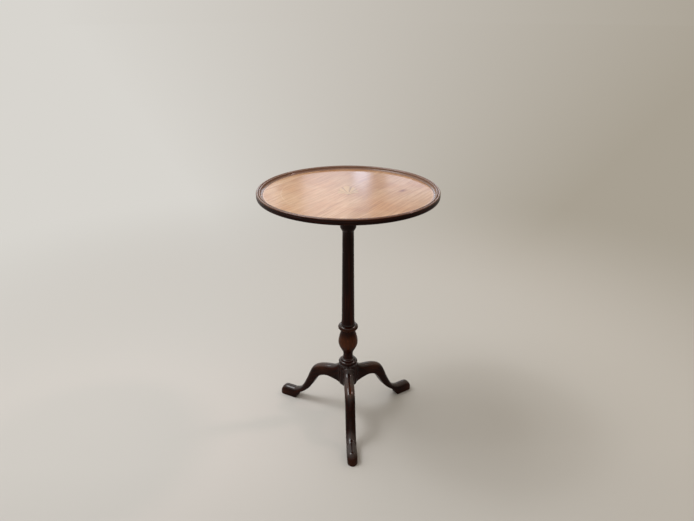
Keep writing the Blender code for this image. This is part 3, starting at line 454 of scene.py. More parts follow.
def screws_tree():
    """Slotted countersunk screws. Each has its head's face on a point, and runs along that point's +Z."""
    sockets = {"Points": "Geometry", **dict.fromkeys(SCREW_SIZES, "Float"), "Finish": "Material"}
    tree, given = new_tree("screws", sockets)
    taper = {"Vertices": 32, "Radius Top": given["Shank Radius"], "Radius Bottom": given["Head Radius"]}
    head = add(tree, "GeometryNodeMeshCone", {**taper, "Depth": given["Head Depth"]})
    length = add(tree, "ShaderNodeMath", [given["Length"], given["Head Depth"]], operation="SUBTRACT")
    point = {"Vertices": 32, "Radius Top": SCREW_TIP_RADIUS, "Radius Bottom": given["Shank Radius"]}
    shank = add(tree, "GeometryNodeMeshCone", {**point, "Depth": length})
    rise = add(tree, "ShaderNodeCombineXYZ", {"Z": given["Head Depth"]})
    lifted = add(tree, "GeometryNodeTransform", {"Geometry": shank, "Translation": rise})

    # The slot runs right across the head and halfway through it
    width = add(tree, "ShaderNodeMath", [given["Head Radius"], SLOT_LENGTH], **TIMES)
    kerf = add(tree, "ShaderNodeMath", [given["Head Radius"], SLOT_WIDTH], **TIMES)
    slot_size = add(tree, "ShaderNodeCombineXYZ", {"X": width, "Y": kerf, "Z": given["Head Depth"]})
    slot = add(tree, "GeometryNodeMeshCube", {"Size": slot_size})
    cut = {"operation": "DIFFERENCE", "solver": "EXACT"}
    slotted = add(tree, "GeometryNodeMeshBoolean", {"Mesh 1": head, "Mesh 2": slot}, **cut)
    whole = add(tree, "GeometryNodeJoinGeometry")
    for part in (slotted, lifted):
        fill(tree, whole, [part])
    turn_angles = add(tree, "GeometryNodeInputNamedAttribute", {"Name": "turn"}, data_type="FLOAT_VECTOR")
    spin = add(tree, "FunctionNodeEulerToRotation", {"Euler": turn_angles})
    driven = {"Points": given["Points"], "Instance": whole, "Rotation": spin}
    return close_tree(tree, add(tree, "GeometryNodeInstanceOnPoints", driven), given["Finish"])


def scratch_object(name, data):
    piece = bpy.data.objects.new(name, data)
    bpy.context.scene.collection.objects.link(piece)
    return piece


def grow(tree, inputs, mesh=None):
    """Runs a Geometry Nodes tree on an object and gives the plain mesh that it makes."""
    scratch = scratch_object("scratch", mesh or bpy.data.meshes.new("scratch"))
    nodes = scratch.modifiers.new("nodes", "NODES")
    nodes.node_group = tree
    for item in tree.interface.items_tree:
        if item.in_out == "INPUT" and item.name in inputs:
            nodes[item.identifier] = inputs[item.name]
    return baked(scratch)


def baked(piece):
    """The plain mesh of an object with its modifiers, welded and facing outwards. The object is removed."""
    graph = bpy.context.evaluated_depsgraph_get()
    mesh = bpy.data.meshes.new_from_object(piece.evaluated_get(graph))
    bpy.data.objects.remove(piece)
    shape = bmesh.new()
    shape.from_mesh(mesh)
    bmesh.ops.remove_doubles(shape, verts=shape.verts, dist=WELD)
    bmesh.ops.recalc_face_normals(shape, faces=shape.faces)
    shape.to_mesh(mesh)
    shape.free()
    return mesh


def climb(values, start, end):
    """How far values have come from start to end, from 0 to 1."""
    return np.clip((values - start) / (end - start), 0.0, 1.0)


def swell(values, middle, spread):
    """A soft hump of 1 at the middle."""
    return np.exp(-(((values - middle) / spread) ** 2))


def paint(mesh, grain, wear=None):
    """Gives each point its place along, across and through the timber, and how rubbed and waxed it is.

    The duster reaches what faces upwards, so that is where the wax shines most.
    """
    count = len(mesh.vertices)
    places = np.empty(count * 3, np.float32)
    facing = np.empty(count * 3, np.float32)
    mesh.vertices.foreach_get("co", places)
    mesh.vertices.foreach_get("normal", facing)
    places = places.reshape(-1, 3)
    rubbed = np.zeros(count) if wear is None else np.clip(wear(places), 0.0, 1.0)
    layers = (
        ("grain", "FLOAT_VECTOR", "vector", grain(places)),
        ("wear", "FLOAT", "value", rubbed),
        ("wax", "FLOAT", "value", climb(facing[2::3], WAX_START, WAX_FULL)),
    )
    for name, kind, field, values in layers:
        layer = mesh.attributes.new(name, kind, "POINT")
        layer.data.foreach_set(field, np.ascontiguousarray(values, np.float32).ravel())
    return mesh


def grain_along(direction, offset=0.0):
    """A grain function for straight timber that runs along this direction."""
    along = Vector(direction).normalized()
    level = Vector((0.0, 0.0, 1.0)) if abs(along.z) < 0.9 else Vector((0.0, 1.0, 0.0))
    across = along.cross(level).normalized()
    axes = np.array([along, across, along.cross(across)], np.float32).T
    return lambda places: places @ axes + offset


def finish_piece(name, mesh, material, body, nodes, crease=35.0):
    """Puts a finished mesh on its body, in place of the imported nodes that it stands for."""
    mesh.name = name
    mesh.materials.clear()
    mesh.materials.append(material)
    mesh.shade_smooth()
    mesh.set_sharp_from_angle(angle=math.radians(crease))
    piece = scratch_object(name, mesh)
    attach(piece, body)
    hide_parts(*nodes)


def numbered(stem, count):
    return [f"{stem}_{number}" for number in range(1, count + 1)]


def shares(count):
    """Even steps from 0 to 1."""
    return [i / (count - 1) for i in range(count)]


def arc(centre, radii, start, end, count):
    """Points along an arc of an ellipse, with its angles in degrees."""
    angles = [math.radians(start + (end - start) * t) for t in shares(count)]
    return [(centre[0] + radii[0] * math.cos(a), centre[1] + radii[1] * math.sin(a)) for a in angles]


def circle(radius, count, centre=(0.0, 0.0)):
    return arc(centre, (radius, radius), 0, 360 - 360 / count, count)


def between(start, end, across, along):
    """The point this share of the way across and along from one point to another."""
    return (start[0] + (end[0] - start[0]) * across, start[1] + (end[1] - start[1]) * along)


def sweep(crest, trough, power, count):
    """A turned curve that leaves its crest square and meets its trough at an angle. Starts at the crest."""
    return [between(crest, trough, t**power, t) for t in shares(count)]


def ogee(crest, neck, lean, count):
    """A turned double curve, square at both ends. Starts at the crest."""
    return [between(crest, neck, (1 - math.cos(math.pi * t**lean)) / 2, t) for t in shares(count)]


def turn(profile, steps, material, ring=False):
    """Turns (radius, height) points into a mesh on the lathe tree."""
    hoop = max(radius for radius, _ in profile)
    curve = bpy.data.curves.new("profile", "CURVE")
    spline = curve.splines.new("POLY")
    spline.points.add(len(profile) - 1)
    for point, (radius, height) in zip(spline.points, profile):
        point.co = (radius - hoop, -height, 0.0, 1.0)
    spline.use_cyclic_u = ring
    drawn = scratch_object("profile", curve)
    mesh = grow(turning, {"Profile": drawn, "Hoop": hoop, "Steps": steps, "Finish": material})
    bpy.data.objects.remove(drawn)
    return mesh


def add_walls(shape, rings):
    """Joins each ring of points to the next with faces."""
    for near, far in zip(rings, rings[1:]):
        count = len(near)
        for i in range(count):
            j = (i + 1) % count
            shape.faces.new((near[i], near[j], far[j], far[i]))


def add_slab(shape, outline, low, high):
    """Adds a flat piece of this outline, between two heights, to a shape."""
    under = [shape.verts.new((x, y, low)) for x, y in outline]
    over = [shape.verts.new((x, y, high)) for x, y in outline]
    shape.faces.new(over)
    shape.faces.new(under[::-1])
    add_walls(shape, [under, over])


def shape_mesh(name, shape):
    bmesh.ops.recalc_face_normals(shape, faces=shape.faces)
    mesh = bpy.data.meshes.new(name)
    shape.to_mesh(mesh)
    shape.free()
    return mesh


def slab(name, outline, low, high):
    shape = bmesh.new()
    add_slab(shape, outline, low, high)
    return shape_mesh(name, shape)


def combine(mesh, operation, *others):
    """A mesh with others cut from it or joined to it."""
    piece = scratch_object("solid", mesh)
    tools = [scratch_object("tool", other) for other in others]
    for tool in tools:
        step = piece.modifiers.new("step", "BOOLEAN")
        step.operation = operation
        step.solver = "EXACT"
        step.object = tool
    made = baked(piece)
    for tool in tools:
        bpy.data.objects.remove(tool)
    return made


def bevel_height(inset):
    """Height of the bevelled underside, this far in from the edge."""
    share = (inset - BAND_SWELL) / (BEVEL_REACH - BAND_SWELL)
    return BAND_FOOT_Z + (UNDERSIDE_Z - BAND_FOOT_Z) * share


def rim_section():
    """The rim's mouldings, clockwise from the outer roll."""
    edge = TOP_RADIUS
    roll = (edge - ROLL_RADIUS, CREST_Z - ROLL_RADIUS)
    band_top = roll[1] - ROLL_RADIUS * 0.8
    half_band = (band_top - BAND_FOOT_Z) / 2
    bead = (edge - 2 * ROLL_RADIUS - 2 * QUIRK - BEAD_RADIUS, CREST_Z - BEAD_RADIUS - QUIRK)
    field_edge = edge - RIM_WIDTH
    cove = (bead[0] - BEAD_RADIUS - field_edge, bead[1] - FIELD_Z)
    section = arc(roll, (ROLL_RADIUS, ROLL_RADIUS), 185, -58, 18)
    section.append((edge - BAND_SWELL - QUIRK, band_top))
    section += arc((edge - BAND_SWELL, BAND_FOOT_Z + half_band), (BAND_SWELL, half_band), 78, -90, 14)
    section.append((edge - RIM_SEAT, bevel_height(RIM_SEAT)))
    section += [(edge - RIM_SEAT, VENEER_Z), (field_edge, VENEER_Z)]
    section += arc((field_edge, bead[1]), cove, -90, -4, 12)
    section += arc(bead, (BEAD_RADIUS, BEAD_RADIUS), 178, 2, 12)
    section.append((bead[0] + BEAD_RADIUS + QUIRK, bead[1] - QUIRK))
    return section


def round_the_rim(places):
    """Grain that follows the rim round, with its seam at the back."""
    angle = np.arctan2(places[:, 0], -places[:, 1])
    radius = np.hypot(places[:, 0], places[:, 1])
    return np.stack([angle * TOP_RADIUS, radius, places[:, 2]], 1)


def rim_wear_and_sheen(places):
    """Hands and dusters have rubbed the mouldings' crests, and the inner mouldings are marked in full, a
    painted sheen that greys them. Both less at the front, none outside.
    """
    radius = np.hypot(places[:, 0], places[:, 1])
    roll_crest = TOP_RADIUS - ROLL_RADIUS
    crest = climb(places[:, 2], CREST_Z - RUBBED_CREST_DEPTH, CREST_Z) ** 1.5
    inner = climb(radius, roll_crest, roll_crest - RUBBED_AND_SHEEN_EDGE_WIDTH)
    front = climb(-places[:, 1], TOP_RADIUS / 2, TOP_RADIUS)
    return np.maximum(0.8 * crest, inner) * (1 - 0.4 * front)


def make_rim():
    rim = paint(turn(rim_section(), RIM_STEPS, mahogany, ring=True), round_the_rim, rim_wear_and_sheen)
    finish_piece("rim", rim, mahogany, "top", ["rim_moulding"], crease=50.0)


def make_board():
    edge = TOP_RADIUS - RIM_SEAT - GAP
    profile = [(0.0, BOARD_HIGH.z), (edge, BOARD_HIGH.z), (edge, bevel_height(RIM_SEAT + GAP))]
    profile += [(TOP_RADIUS - BEVEL_REACH, UNDERSIDE_Z), (0.0, UNDERSIDE_Z)]
    board = paint(turn(profile, RIM_STEPS, dry_wood), grain_along((0.3, 1.0, 0.0)))
    finish_piece("ground_board", board, dry_wood, "top", ["top_board"], crease=5.0)


def shell_reach(angle):
    return 1 / math.hypot(math.sin(angle) / SHELL_HALF_WIDTH, math.cos(angle) / SHELL_LENGTH)


def shell_point(angle, radius, aside=0.0):
    """A point of the shell, at an angle from its middle ray and moved aside from that angle's line."""
    x = radius * math.sin(angle) + aside * math.cos(angle)
    y = radius * math.cos(angle) - aside * math.sin(angle)
    return (x, SHELL_BASE_Y + y)


def ray_ends(number, margin, aside):
    """The scalloped end of a ray."""
    points = []
    for t in shares(RAY_POINTS):
        angle = SHELL_START + RAY_SPREAD * (number + t)
        radius = shell_reach(angle) * (1 - SHELL_SCALLOP * (2 * t - 1) ** 2)
        points.append(shell_point(angle, radius + margin, aside * (1 - 2 * t)))
    return points


def shell_pocket():
    """The outline of the shell with a glue line round it."""
    corner = shell_reach(SHELL_START) * (1 - SHELL_SCALLOP) + GAP
    outline = [shell_point(-SHELL_START, 0.0, GAP / 2), shell_point(SHELL_START, 0.0, -GAP / 2)]
    outline.append(shell_point(SHELL_START, corner, -GAP / 2))
    for number in range(SHELL_RAYS):
        outline += ray_ends(number, GAP, 0.0)[1:-1]
    outline.append(shell_point(-SHELL_START, corner, GAP / 2))
    return outline


def make_field():
    field = slab("field", circle(FIELD_RADIUS, RIM_STEPS), VENEER_Z, FIELD_Z)
    boss = circle(SHELL_BOSS_RADIUS, BOSS_STEPS, (0.0, SHELL_BASE_Y))
    low, high = VENEER_Z - OVERCUT, FIELD_Z + OVERCUT
    rooms = [slab("room", outline, low, high) for outline in (shell_pocket(), boss)]
    field = paint(combine(field, "DIFFERENCE", *rooms), grain_along((1.0, 0.0, 0.0)))
    finish_piece("veneered_field", field, veneer, "top", ["field_veneer"], crease=5.0)


def make_shell():
    shape = bmesh.new()
    across = shares(RAY_POINTS)
    back = across[::-1]
    scorch = []
    for number in range(SHELL_RAYS):
        first = SHELL_START + RAY_SPREAD * number
        near = [shell_point(first + RAY_SPREAD * t, SHELL_BOSS_RADIUS, (0.5 - t) * GAP) for t in back]
        add_slab(shape, near + ray_ends(number, 0.0, GAP / 2), VENEER_Z, FIELD_Z)
        scorch += (back + across) * 2
    along = grain_along((0.0, 1.0, 0.0))
    rays = paint(shape_mesh("rays", shape), along, lambda places: np.array(scorch) ** 2)
    names = numbered("inlay_ray", SHELL_RAYS)
    finish_piece("shell_rays", rays, box_inlay, "top", names, crease=5.0)
    outline = circle(SHELL_BOSS_RADIUS - GAP, BOSS_STEPS, (0.0, SHELL_BASE_Y))
    boss = slab("boss", outline, VENEER_Z, FIELD_Z)
    paint(boss, along, lambda places: climb(places[:, 1], SHELL_BASE_Y + 0.004, SHELL_BASE_Y - 0.008))
    finish_piece("shell_boss", boss, box_inlay, "top", ["inlay_base"], crease=5.0)


def pillar_section():
    """The turned pillar from the top of its tenon down to the flat end of the hub."""
    hub_top = HUB_Z + HUB_LENGTH
    bead_foot = hub_top + RECESS_HEIGHT
    bead_top = bead_foot + BASE_BEAD_HEIGHT
    step_top = bead_top + STEP_HEIGHT
    neck_foot = step_top + COVE_HEIGHT
    neck = neck_foot + NECK_LENGTH
    belly = neck + VASE_RISE
    vase_top = belly + VASE_SHOULDER
    knop_crest = vase_top + KNOP_NECK + KNOP_LOWER
    knop_top = knop_crest + KNOP_UPPER
    shaft_foot = knop_top + FILLET_HEIGHT
    shoulder = BLOCK_LOW.z - GAP
    collar_foot = shoulder - COLLAR_HEIGHT
    shaft_top = collar_foot - FLARE_HEIGHT
    section = [(0.0, PILLAR_HIGH.z), (TENON_RADIUS, PILLAR_HIGH.z), (TENON_RADIUS, shoulder)]
    section += [(COLLAR_RADIUS - QUIRK, shoulder), (COLLAR_RADIUS, shoulder - QUIRK)]
    section += sweep((COLLAR_RADIUS, collar_foot), (SHAFT_TOP_RADIUS, shaft_top), 1.4, 16)
    section += sweep((SHAFT_TOP_RADIUS, shaft_top), (SHAFT_FOOT_RADIUS, shaft_foot), 1.1, 14)[1:]
    section.append((FILLET_RADIUS, knop_top + FILLET_HEIGHT * 0.4))
    section += arc((FILLET_RADIUS, knop_crest), (KNOP_RADIUS - FILLET_RADIUS, KNOP_UPPER), 90, 0, 16)
    section += arc((VASE_TOP_RADIUS, knop_crest), (KNOP_RADIUS - VASE_TOP_RADIUS, KNOP_LOWER), 0, -90, 16)[1:]
    section += sweep((VASE_RADIUS, belly), (VASE_TOP_RADIUS, vase_top), 1.5, 20)[::-1]
    section += ogee((VASE_RADIUS, belly), (NECK_RADIUS, neck), 1.18, 24)[1:]
    step = (STEP_RADIUS - STEP_ROUND, step_top - STEP_ROUND)
    section += sweep((NECK_RADIUS, neck_foot), (step[0], step_top), 2.2, 14)
    section += arc(step, (STEP_ROUND, STEP_ROUND), 90, 0, 14)[1:]
    half_bead = BASE_BEAD_HEIGHT / 2
    bead = (BASE_BEAD_RADIUS - STEP_RADIUS, half_bead)
    section += arc((STEP_RADIUS, bead_foot + half_bead), bead, 90, -80, 20)
    section += [(RECESS_RADIUS, bead_foot), (RECESS_RADIUS, hub_top)]
    section += arc((HUB_RADIUS - HUB_QUIRK, hub_top - HUB_QUIRK), (HUB_QUIRK, HUB_QUIRK), 90, 0, 6)
    section += [(HUB_RADIUS, HUB_Z + QUIRK), (HUB_RADIUS - QUIRK, HUB_Z), (0.0, HUB_Z)]
    return section


def pillar_wear(places):
    """The proud turnings, and the vase most of all, are rubbed browner."""
    radius = np.hypot(places[:, 0], places[:, 1])
    rings = climb(radius, 0.022, 0.028) * (places[:, 2] > RUBBED_RINGS_Z)
    vase = swell(places[:, 2], RUBBED_VASE_Z, 0.025) * climb(radius, 0.015, 0.027)
    return 0.08 * rings + 0.22 * vase


def dovetail(clearance, foot):
    """The tail on a leg along +X, or its socket when a clearance is given."""
    inner = HUB_RADIUS - SOCKET_DEPTH
    outer = HUB_RADIUS + OVERCUT
    tail = DOVETAIL_TAIL / 2
    neck = tail - (DOVETAIL_TAIL - DOVETAIL_NECK) / 2 * (outer - inner) / SOCKET_DEPTH + clearance
    tail += clearance
    inner -= clearance
    outline = [(inner, -tail), (outer, -neck), (outer, neck), (inner, tail)]
    return slab("tail", outline, foot, HUB_Z + SOCKET_HEIGHT + clearance)


def round_the_pillar(azimuth):
    return Matrix.Rotation(math.radians(azimuth), 4, "Z")


def make_pillar():
    across = TENON_RADIUS + OVERCUT
    half = WEDGE_HIGH.y + GAP
    kerf = [(-across, -half), (across, -half), (across, half), (-across, half)]
    cuts = [slab("wedge_slot", kerf, WEDGE_LOW.z - GAP, WEDGE_HIGH.z + OVERCUT)]
    for azimuth in LEG_AZIMUTHS.values():
        socket = dovetail(GAP, HUB_Z - OVERCUT)
        socket.transform(round_the_pillar(azimuth))
        cuts.append(socket)
    pillar = combine(turn(pillar_section(), LATHE_STEPS, mahogany), "DIFFERENCE", *cuts)
    paint(pillar, grain_along((0.0, 0.0, 1.0)), pillar_wear)
    finish_piece("turned_pillar", pillar, mahogany, "base", ["pillar"], crease=40.0)


def leg_stations():
    """The template of a leg: reach from the axis, height of the centre line, depth, and lean in degrees."""
    run = LEG_REACH - HUB_RADIUS
    hip = HUB_Z + HIP_DEPTH / 2
    sole = FOOT_DEPTH / 2
    template = (
        (-0.045, hip, HIP_DEPTH, 0),
        (0.000, hip, HIP_DEPTH, 0),
        (0.091, 0.985 * hip, (HIP_DEPTH + 2 * THIGH_DEPTH) / 3, 4),
        (0.187, 0.983 * hip, THIGH_DEPTH, 5),
        (0.278, 0.953 * hip, KNEE_DEPTH, 22),
        (0.361, 0.884 * hip, KNEE_DEPTH, 43),
        (0.422, 0.756 * hip, (KNEE_DEPTH + SHIN_DEPTH) / 2, 58),
        (0.477, 0.588 * hip, SHIN_DEPTH, 61),
        (0.538, 0.426 * hip, (2 * SHIN_DEPTH + ANKLE_DEPTH) / 3, 55),
        (0.604, 0.303 * hip, ANKLE_DEPTH, 44),
        (0.673, 0.224 * hip, ANKLE_DEPTH, 37),
        (0.722, 0.163 * hip, (ANKLE_DEPTH + FOOT_DEPTH) / 2, 10),
        (0.742, sole, FOOT_DEPTH, 8),
        (0.811, sole, FOOT_DEPTH, 4),
        (TOE_SHARE, sole, FOOT_DEPTH, 0),
    )
    return [Vector((HUB_RADIUS + share * run, *rest)) for share, *rest in template]


def smooth_line(points, per_span):
    """A smooth curve through the points, with this many steps from each to the next."""
    ends = [2 * points[0] - points[1], *points, 2 * points[-1] - points[-2]]
    line = []
    for a, b, c, d in zip(ends, ends[1:], ends[2:], ends[3:]):
        for i in range(per_span):
            t = i / per_span
            bend = (2 * a - 5 * b + 4 * c - d) * t**2 + (3 * b - 3 * c + d - a) * t**3
            line.append((2 * b + (c - a) * t + bend) / 2)
    line.append(points[-1])
    return line


def leg_sections():
    """Middle, upward half depth and half width of each section of a leg along +X, its round toe last."""
    half = LEG_WIDTH / 2
    shoulder_start = math.sqrt((HUB_RADIUS + SHOULDER_ROUND) ** 2 - (half + SHOULDER_ROUND) ** 2)
    sections = []
    for reach, height, depth, lean in smooth_line(leg_stations(), 6):
        # The top and the sides curve out to meet the hub
        rise = FAIRING_RISE * min(max(1 - (reach - HUB_RADIUS) / FAIRING_REACH, 0.0), 1.0) ** 2.5
        inside = max(shoulder_start - reach, 0.0)
        width = half + SHOULDER_ROUND - math.sqrt(SHOULDER_ROUND**2 - inside**2)
        angle = math.radians(lean)
        up = Vector((math.sin(angle), 0.0, math.cos(angle))) * (depth + rise) / 2
        sections.append((Vector((reach, 0.0, height + rise / 2)), up, width))
    start = HUB_RADIUS + TOE_SHARE * (LEG_REACH - HUB_RADIUS)
    for i in range(1, TOE_STEPS + 1):
        angle = TOE_SWEEP * i / TOE_STEPS
        reach = start + (LEG_REACH - start) * math.sin(angle) / math.sin(TOE_SWEEP)
        height = FOOT_DEPTH * math.cos(angle)
        past = max(0.0, reach - (LEG_REACH - half)) / half
        width = half * math.sqrt(max(1 - past**2, TOE_TIP_SHARE**2))
        sections.append((Vector((reach, 0.0, height / 2)), Vector((0.0, 0.0, height / 2)), width))
    return sections


def leg_ring(middle, up, width):
    """The points round one section: a domed crown, sides and eased lower edges, never below the floor."""
    depth = up.length
    crown = min(CROWN_ROUND, 0.9 * width, 1.6 * depth)
    ease = min(UNDER_ROUND, 0.4 * width, depth / 4)
    flat = arc((0.0, depth - crown), (width, crown), 0, 180, 24)
    flat += arc((ease - width, ease - depth), (ease, ease), 180, 270, 5)
    flat += arc((width - ease, ease - depth), (ease, ease), 270, 360, 5)
    ring = []
    for across, rise in flat:
        point = middle + up.normalized() * rise + Vector((0.0, across, 0.0))
        point.z = max(point.z, 0.0)
        ring.append(point)
    return ring


def leg_shape():
    """The shaped leg along +X, before its joint is cut."""
    shape = bmesh.new()
    rings = [[shape.verts.new(point) for point in leg_ring(*section)] for section in leg_sections()]
    add_walls(shape, rings)
    shape.faces.new(rings[0][::-1])
    shape.faces.new(rings[-1])
    return shape_mesh("leg", shape)


def leg_wear(places):
    """Shoes have scuffed the foot, and the knee's crown is rubbed."""
    reach = np.hypot(places[:, 0], places[:, 1])
    foot = climb(reach, 0.185, 0.225) * climb(places[:, 2], 0.036, 0.006)
    knee = swell(reach, RUBBED_KNEE_REACH, 0.03) * climb(places[:, 2], 0.125, 0.14)
    return 0.08 * foot + 0.14 * knee


def make_legs():
    hub = slab("hub", circle(HUB_RADIUS + GAP, LATHE_STEPS), 0.0, HUB_Z + 2 * HUB_LENGTH)
    fitted = combine(leg_shape(), "DIFFERENCE", hub)
    jointed = combine(fitted, "UNION", dovetail(0.0, HUB_Z + DOVETAIL_LIFT))
    for number, (name, azimuth) in enumerate(LEG_AZIMUTHS.items()):
        leg = jointed.copy()
        # The timber runs straight from hip to toe, and each leg is its own piece of it
        paint(leg, grain_along(LEG_GRAIN, NEXT_LEG_GRAIN * number), leg_wear)
        leg.transform(round_the_pillar(azimuth))
        finish_piece("cabriole_" + name, leg, mahogany, "base", [name], crease=40.0)


def softened(node, name, width, material, body, direction=(0.0, 1.0, 0.0)):
    """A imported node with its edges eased, in a better finish."""
    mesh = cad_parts[node].data.copy()
    shape = bmesh.new()
    shape.from_mesh(mesh)
    bmesh.ops.remove_doubles(shape, verts=shape.verts, dist=PACKED_WELD)
    bmesh.ops.dissolve_limit(shape, angle_limit=math.radians(0.5), verts=shape.verts, edges=shape.edges)
    shape.to_mesh(mesh)
    shape.free()
    piece = scratch_object(name, mesh)
    ease = piece.modifiers.new("ease", "BEVEL")
    ease.width = width
    ease.segments = 3
    ease.limit_method = "ANGLE"
    ease.angle_limit = math.radians(32)
    finish_piece(name, paint(baked(piece), grain_along(direction)), material, body, [node])


def make_underframe():
    softened("bearer_left", "left_bearer", 0.0012, dry_wood, "top")
    softened("bearer_right", "right_bearer", 0.0012, dry_wood, "top")
    softened("tilt_block", "hinge_block", 0.0010, dry_wood, "base", (1.0, 0.0, 0.0))
    softened("tenon_wedge", "wedge", 0.0002, dry_wood, "base", (0.0, 0.0, 1.0))
    softened("spider_plate", "iron_strap", 0.0004, forged_iron, "base")
    softened("keeper_plate", "keeper", 0.0002, aged_brass, "base")
    softened("catch_case", "catch_box", 0.0004, aged_brass, "top")
    softened("catch_bolt", "catch_tongue", 0.0004, aged_brass, "catch_bolt")


def make_knob():
    """The ball knob that draws the catch."""
    ball = KNOB_LOW.z + KNOB_RADIUS
    neck = math.degrees(math.acos(KNOB_STEM_RADIUS / KNOB_RADIUS))
    section = [(0.0, KNOB_HIGH.z), (KNOB_STEM_RADIUS, KNOB_HIGH.z)]
    section += arc((0.0, ball), (KNOB_RADIUS, KNOB_RADIUS), neck, -90, 20)
    knob = turn(section, 40, aged_brass)
    knob.transform(Matrix.Translation((0.0, (KNOB_LOW.y + KNOB_HIGH.y) / 2, 0.0)))
    finish_piece("catch_pull", knob, aged_brass, "catch_bolt", ["catch_knob"])


def make_spring():
    length = SPRING_HIGH.y - SPRING_LOW.y - 2 * SPRING_WIRE_RADIUS
    sizes = {"Coil Radius": SPRING_RADIUS, "Wire Radius": SPRING_WIRE_RADIUS, "Length": length}
    spring = grow(coil, {**sizes, "Turns": float(SPRING_TURNS), "Finish": bright_steel})
    end = Vector((0.0, SPRING_HIGH.y - SPRING_WIRE_RADIUS, (SPRING_LOW.z + SPRING_HIGH.z) / 2))
    spring.transform(Matrix.Translation(end) @ Matrix.Rotation(math.pi / 2, 4, "X"))
    finish_piece("coil_spring", spring, bright_steel, "top", ["catch_spring"])


def make_screws(name, stem, count, sizes, aim, material, body):
    """One group of screws. aim gives where a screw's head is and how it is turned about X, Y and Z."""
    nodes = numbered(stem, count)
    points = bpy.data.meshes.new("points")
    heads = [aim(number, node) for number, node in enumerate(nodes)]
    points.from_pydata([place for place, _ in heads], [], [])
    layer = points.attributes.new("turn", "FLOAT_VECTOR", "POINT")
    layer.data.foreach_set("vector", [angle for _, angles in heads for angle in angles])
    mesh = grow(screws, {**dict(zip(SCREW_SIZES, sizes)), "Finish": material}, points)
    finish_piece(name, mesh, material, body, nodes, crease=25.0)


def upward(number, node):
    """A screw driven straight up, its slot left at its own angle."""
    low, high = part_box(node)
    middle = (low + high) / 2
    return (middle.x, middle.y, low.z), (0.0, 0.0, 0.9 + 1.3 * number)


def forward(number, node):
    """A screw driven towards -Y."""
    low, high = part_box(node)
    middle = (low + high) / 2
    return (middle.x, high.y, middle.z), (math.pi / 2, 0.4 + 1.1 * number, 0.0)


def slanting(number, node):
    """A screw driven up at a slant. Its tip is its highest point, and its head's rim is farthest from it."""
    points = [vertex.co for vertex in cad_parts[node].data.vertices]
    tip = max(points, key=lambda point: point.z)
    reach = max((point - tip).length for point in points)
    rim = [point for point in points if (point - tip).length > reach - 0.0001]
    head = sum(rim, Vector()) / len(rim)
    aimed = (tip - head).to_track_quat("Z", "Y") @ Matrix.Rotation(0.5 + 0.8 * number, 3, "Z").to_quaternion()
    return head, aimed.to_euler()


def make_fastenings():
    make_screws("bearer_screws", "bearer_screw", 4, BEARER_SCREW, upward, bright_steel, "top")
    make_screws("catch_screws", "catch_screw", 2, CATCH_SCREW, upward, aged_brass, "top")
    make_screws("keeper_screws", "keeper_screw", 2, KEEPER_SCREW, forward, aged_brass, "base")
    make_screws("strap_screws", "spider_screw", 3, STRAP_SCREW, slanting, forged_iron, "base")


def backdrop(tree, direction):
    """The studio's colour in a direction: palest on the left and overhead, darkest behind the camera."""
    sides = add(tree, "ShaderNodeSeparateXYZ", [direction]).outputs
    share = add(tree, "ShaderNodeMapRange", {"Value": sides["X"], "From Min": -0.6, "From Max": 0.6})
    greys = ((0.2, BACKDROP_LEFT), (0.5, BACKDROP_MIDDLE), (1.0, BACKDROP_RIGHT))
    across = add(tree, "ShaderNodeValToRGB", {"Fac": share}, stops=greys)
    to_front = {"Value": sides["Y"], "From Min": -0.5, "From Max": 0.4, "To Min": FRONT_SHARE}
    depth = add(tree, "ShaderNodeMapRange", to_front, **SOFT)
    upwards = {"Value": sides["Z"], "From Min": 0.12, "From Max": 0.6, "To Min": 1.0, "To Max": CEILING_SHARE}
    height = add(tree, "ShaderNodeMapRange", upwards, **SOFT)
    level = add(tree, "ShaderNodeMath", [depth, height], **TIMES)
    return add(tree, "ShaderNodeVectorMath", {0: across, "Scale": level}, operation="SCALE")


def make_floor():
    """A pale floor that keeps the table's shadow, and far from the table fades into the plain backdrop."""
    material, tree, shader = new_material("pale_floor")
    place = add(tree, "ShaderNodeTexCoord").outputs["Object"]
    sides = add(tree, "ShaderNodeSeparateXYZ", [place]).outputs
    # Painted falloff of the light: the floor greys a little to the right and is a tenth darker towards the
    # front
    share = add(tree, "ShaderNodeMapRange", {"Value": sides["X"], "From Min": -0.9, "From Max": 0.9})
    paper_with_falloff = add(tree, "ShaderNodeValToRGB", {"Fac": share}, stops=((0.2, FLOOR_LEFT), (1.0, FLOOR_RIGHT)))
    to_front = {"Value": sides["Y"], "From Min": -0.7, "From Max": -0.2, "To Min": 0.9}
    front = add(tree, "ShaderNodeMapRange", to_front)
    with_painted_shade = add(tree, "ShaderNodeVectorMath", {0: paper_with_falloff, "Scale": front}, operation="SCALE")
    fill(tree, shader, {"Base Color": with_painted_shade, "Roughness": 0.9, "Specular IOR Level": 0.1})
    reach = add(tree, "ShaderNodeVectorMath", [place], operation="LENGTH")
    far = add(tree, "ShaderNodeMapRange", {"Value": reach, "From Min": 0.9, "From Max": 2.4}, **SOFT)
    direction = add(tree, "ShaderNodeVectorMath", [place], operation="NORMALIZE")
    distance = add(tree, "ShaderNodeEmission", {"Color": backdrop(tree, direction), "Strength": 1.0})
    both = add(tree, "ShaderNodeMixShader", [far, shader, distance])
    fill(tree, tree.nodes["Material Output"], {"Surface": both})
    shape = bmesh.new()
    bmesh.ops.create_circle(shape, cap_ends=True, radius=30.0, segments=64)
    floor = scratch_object("floor", shape_mesh("floor", shape))
    floor.data.materials.append(material)


def lamp(name, place, aim, size, power, colour, spread=180.0):
    data = bpy.data.lights.new(name, "AREA")
    data.spread = math.radians(spread)
    data.shape = "RECTANGLE"
    data.size, data.size_y = size
    data.energy = power
    data.color = rgb(colour)[:3]
    light = scratch_object(name, data)
    light.location = place
    light.rotation_euler = (Vector(aim) - Vector(place)).to_track_quat("-Z", "Y").to_euler()


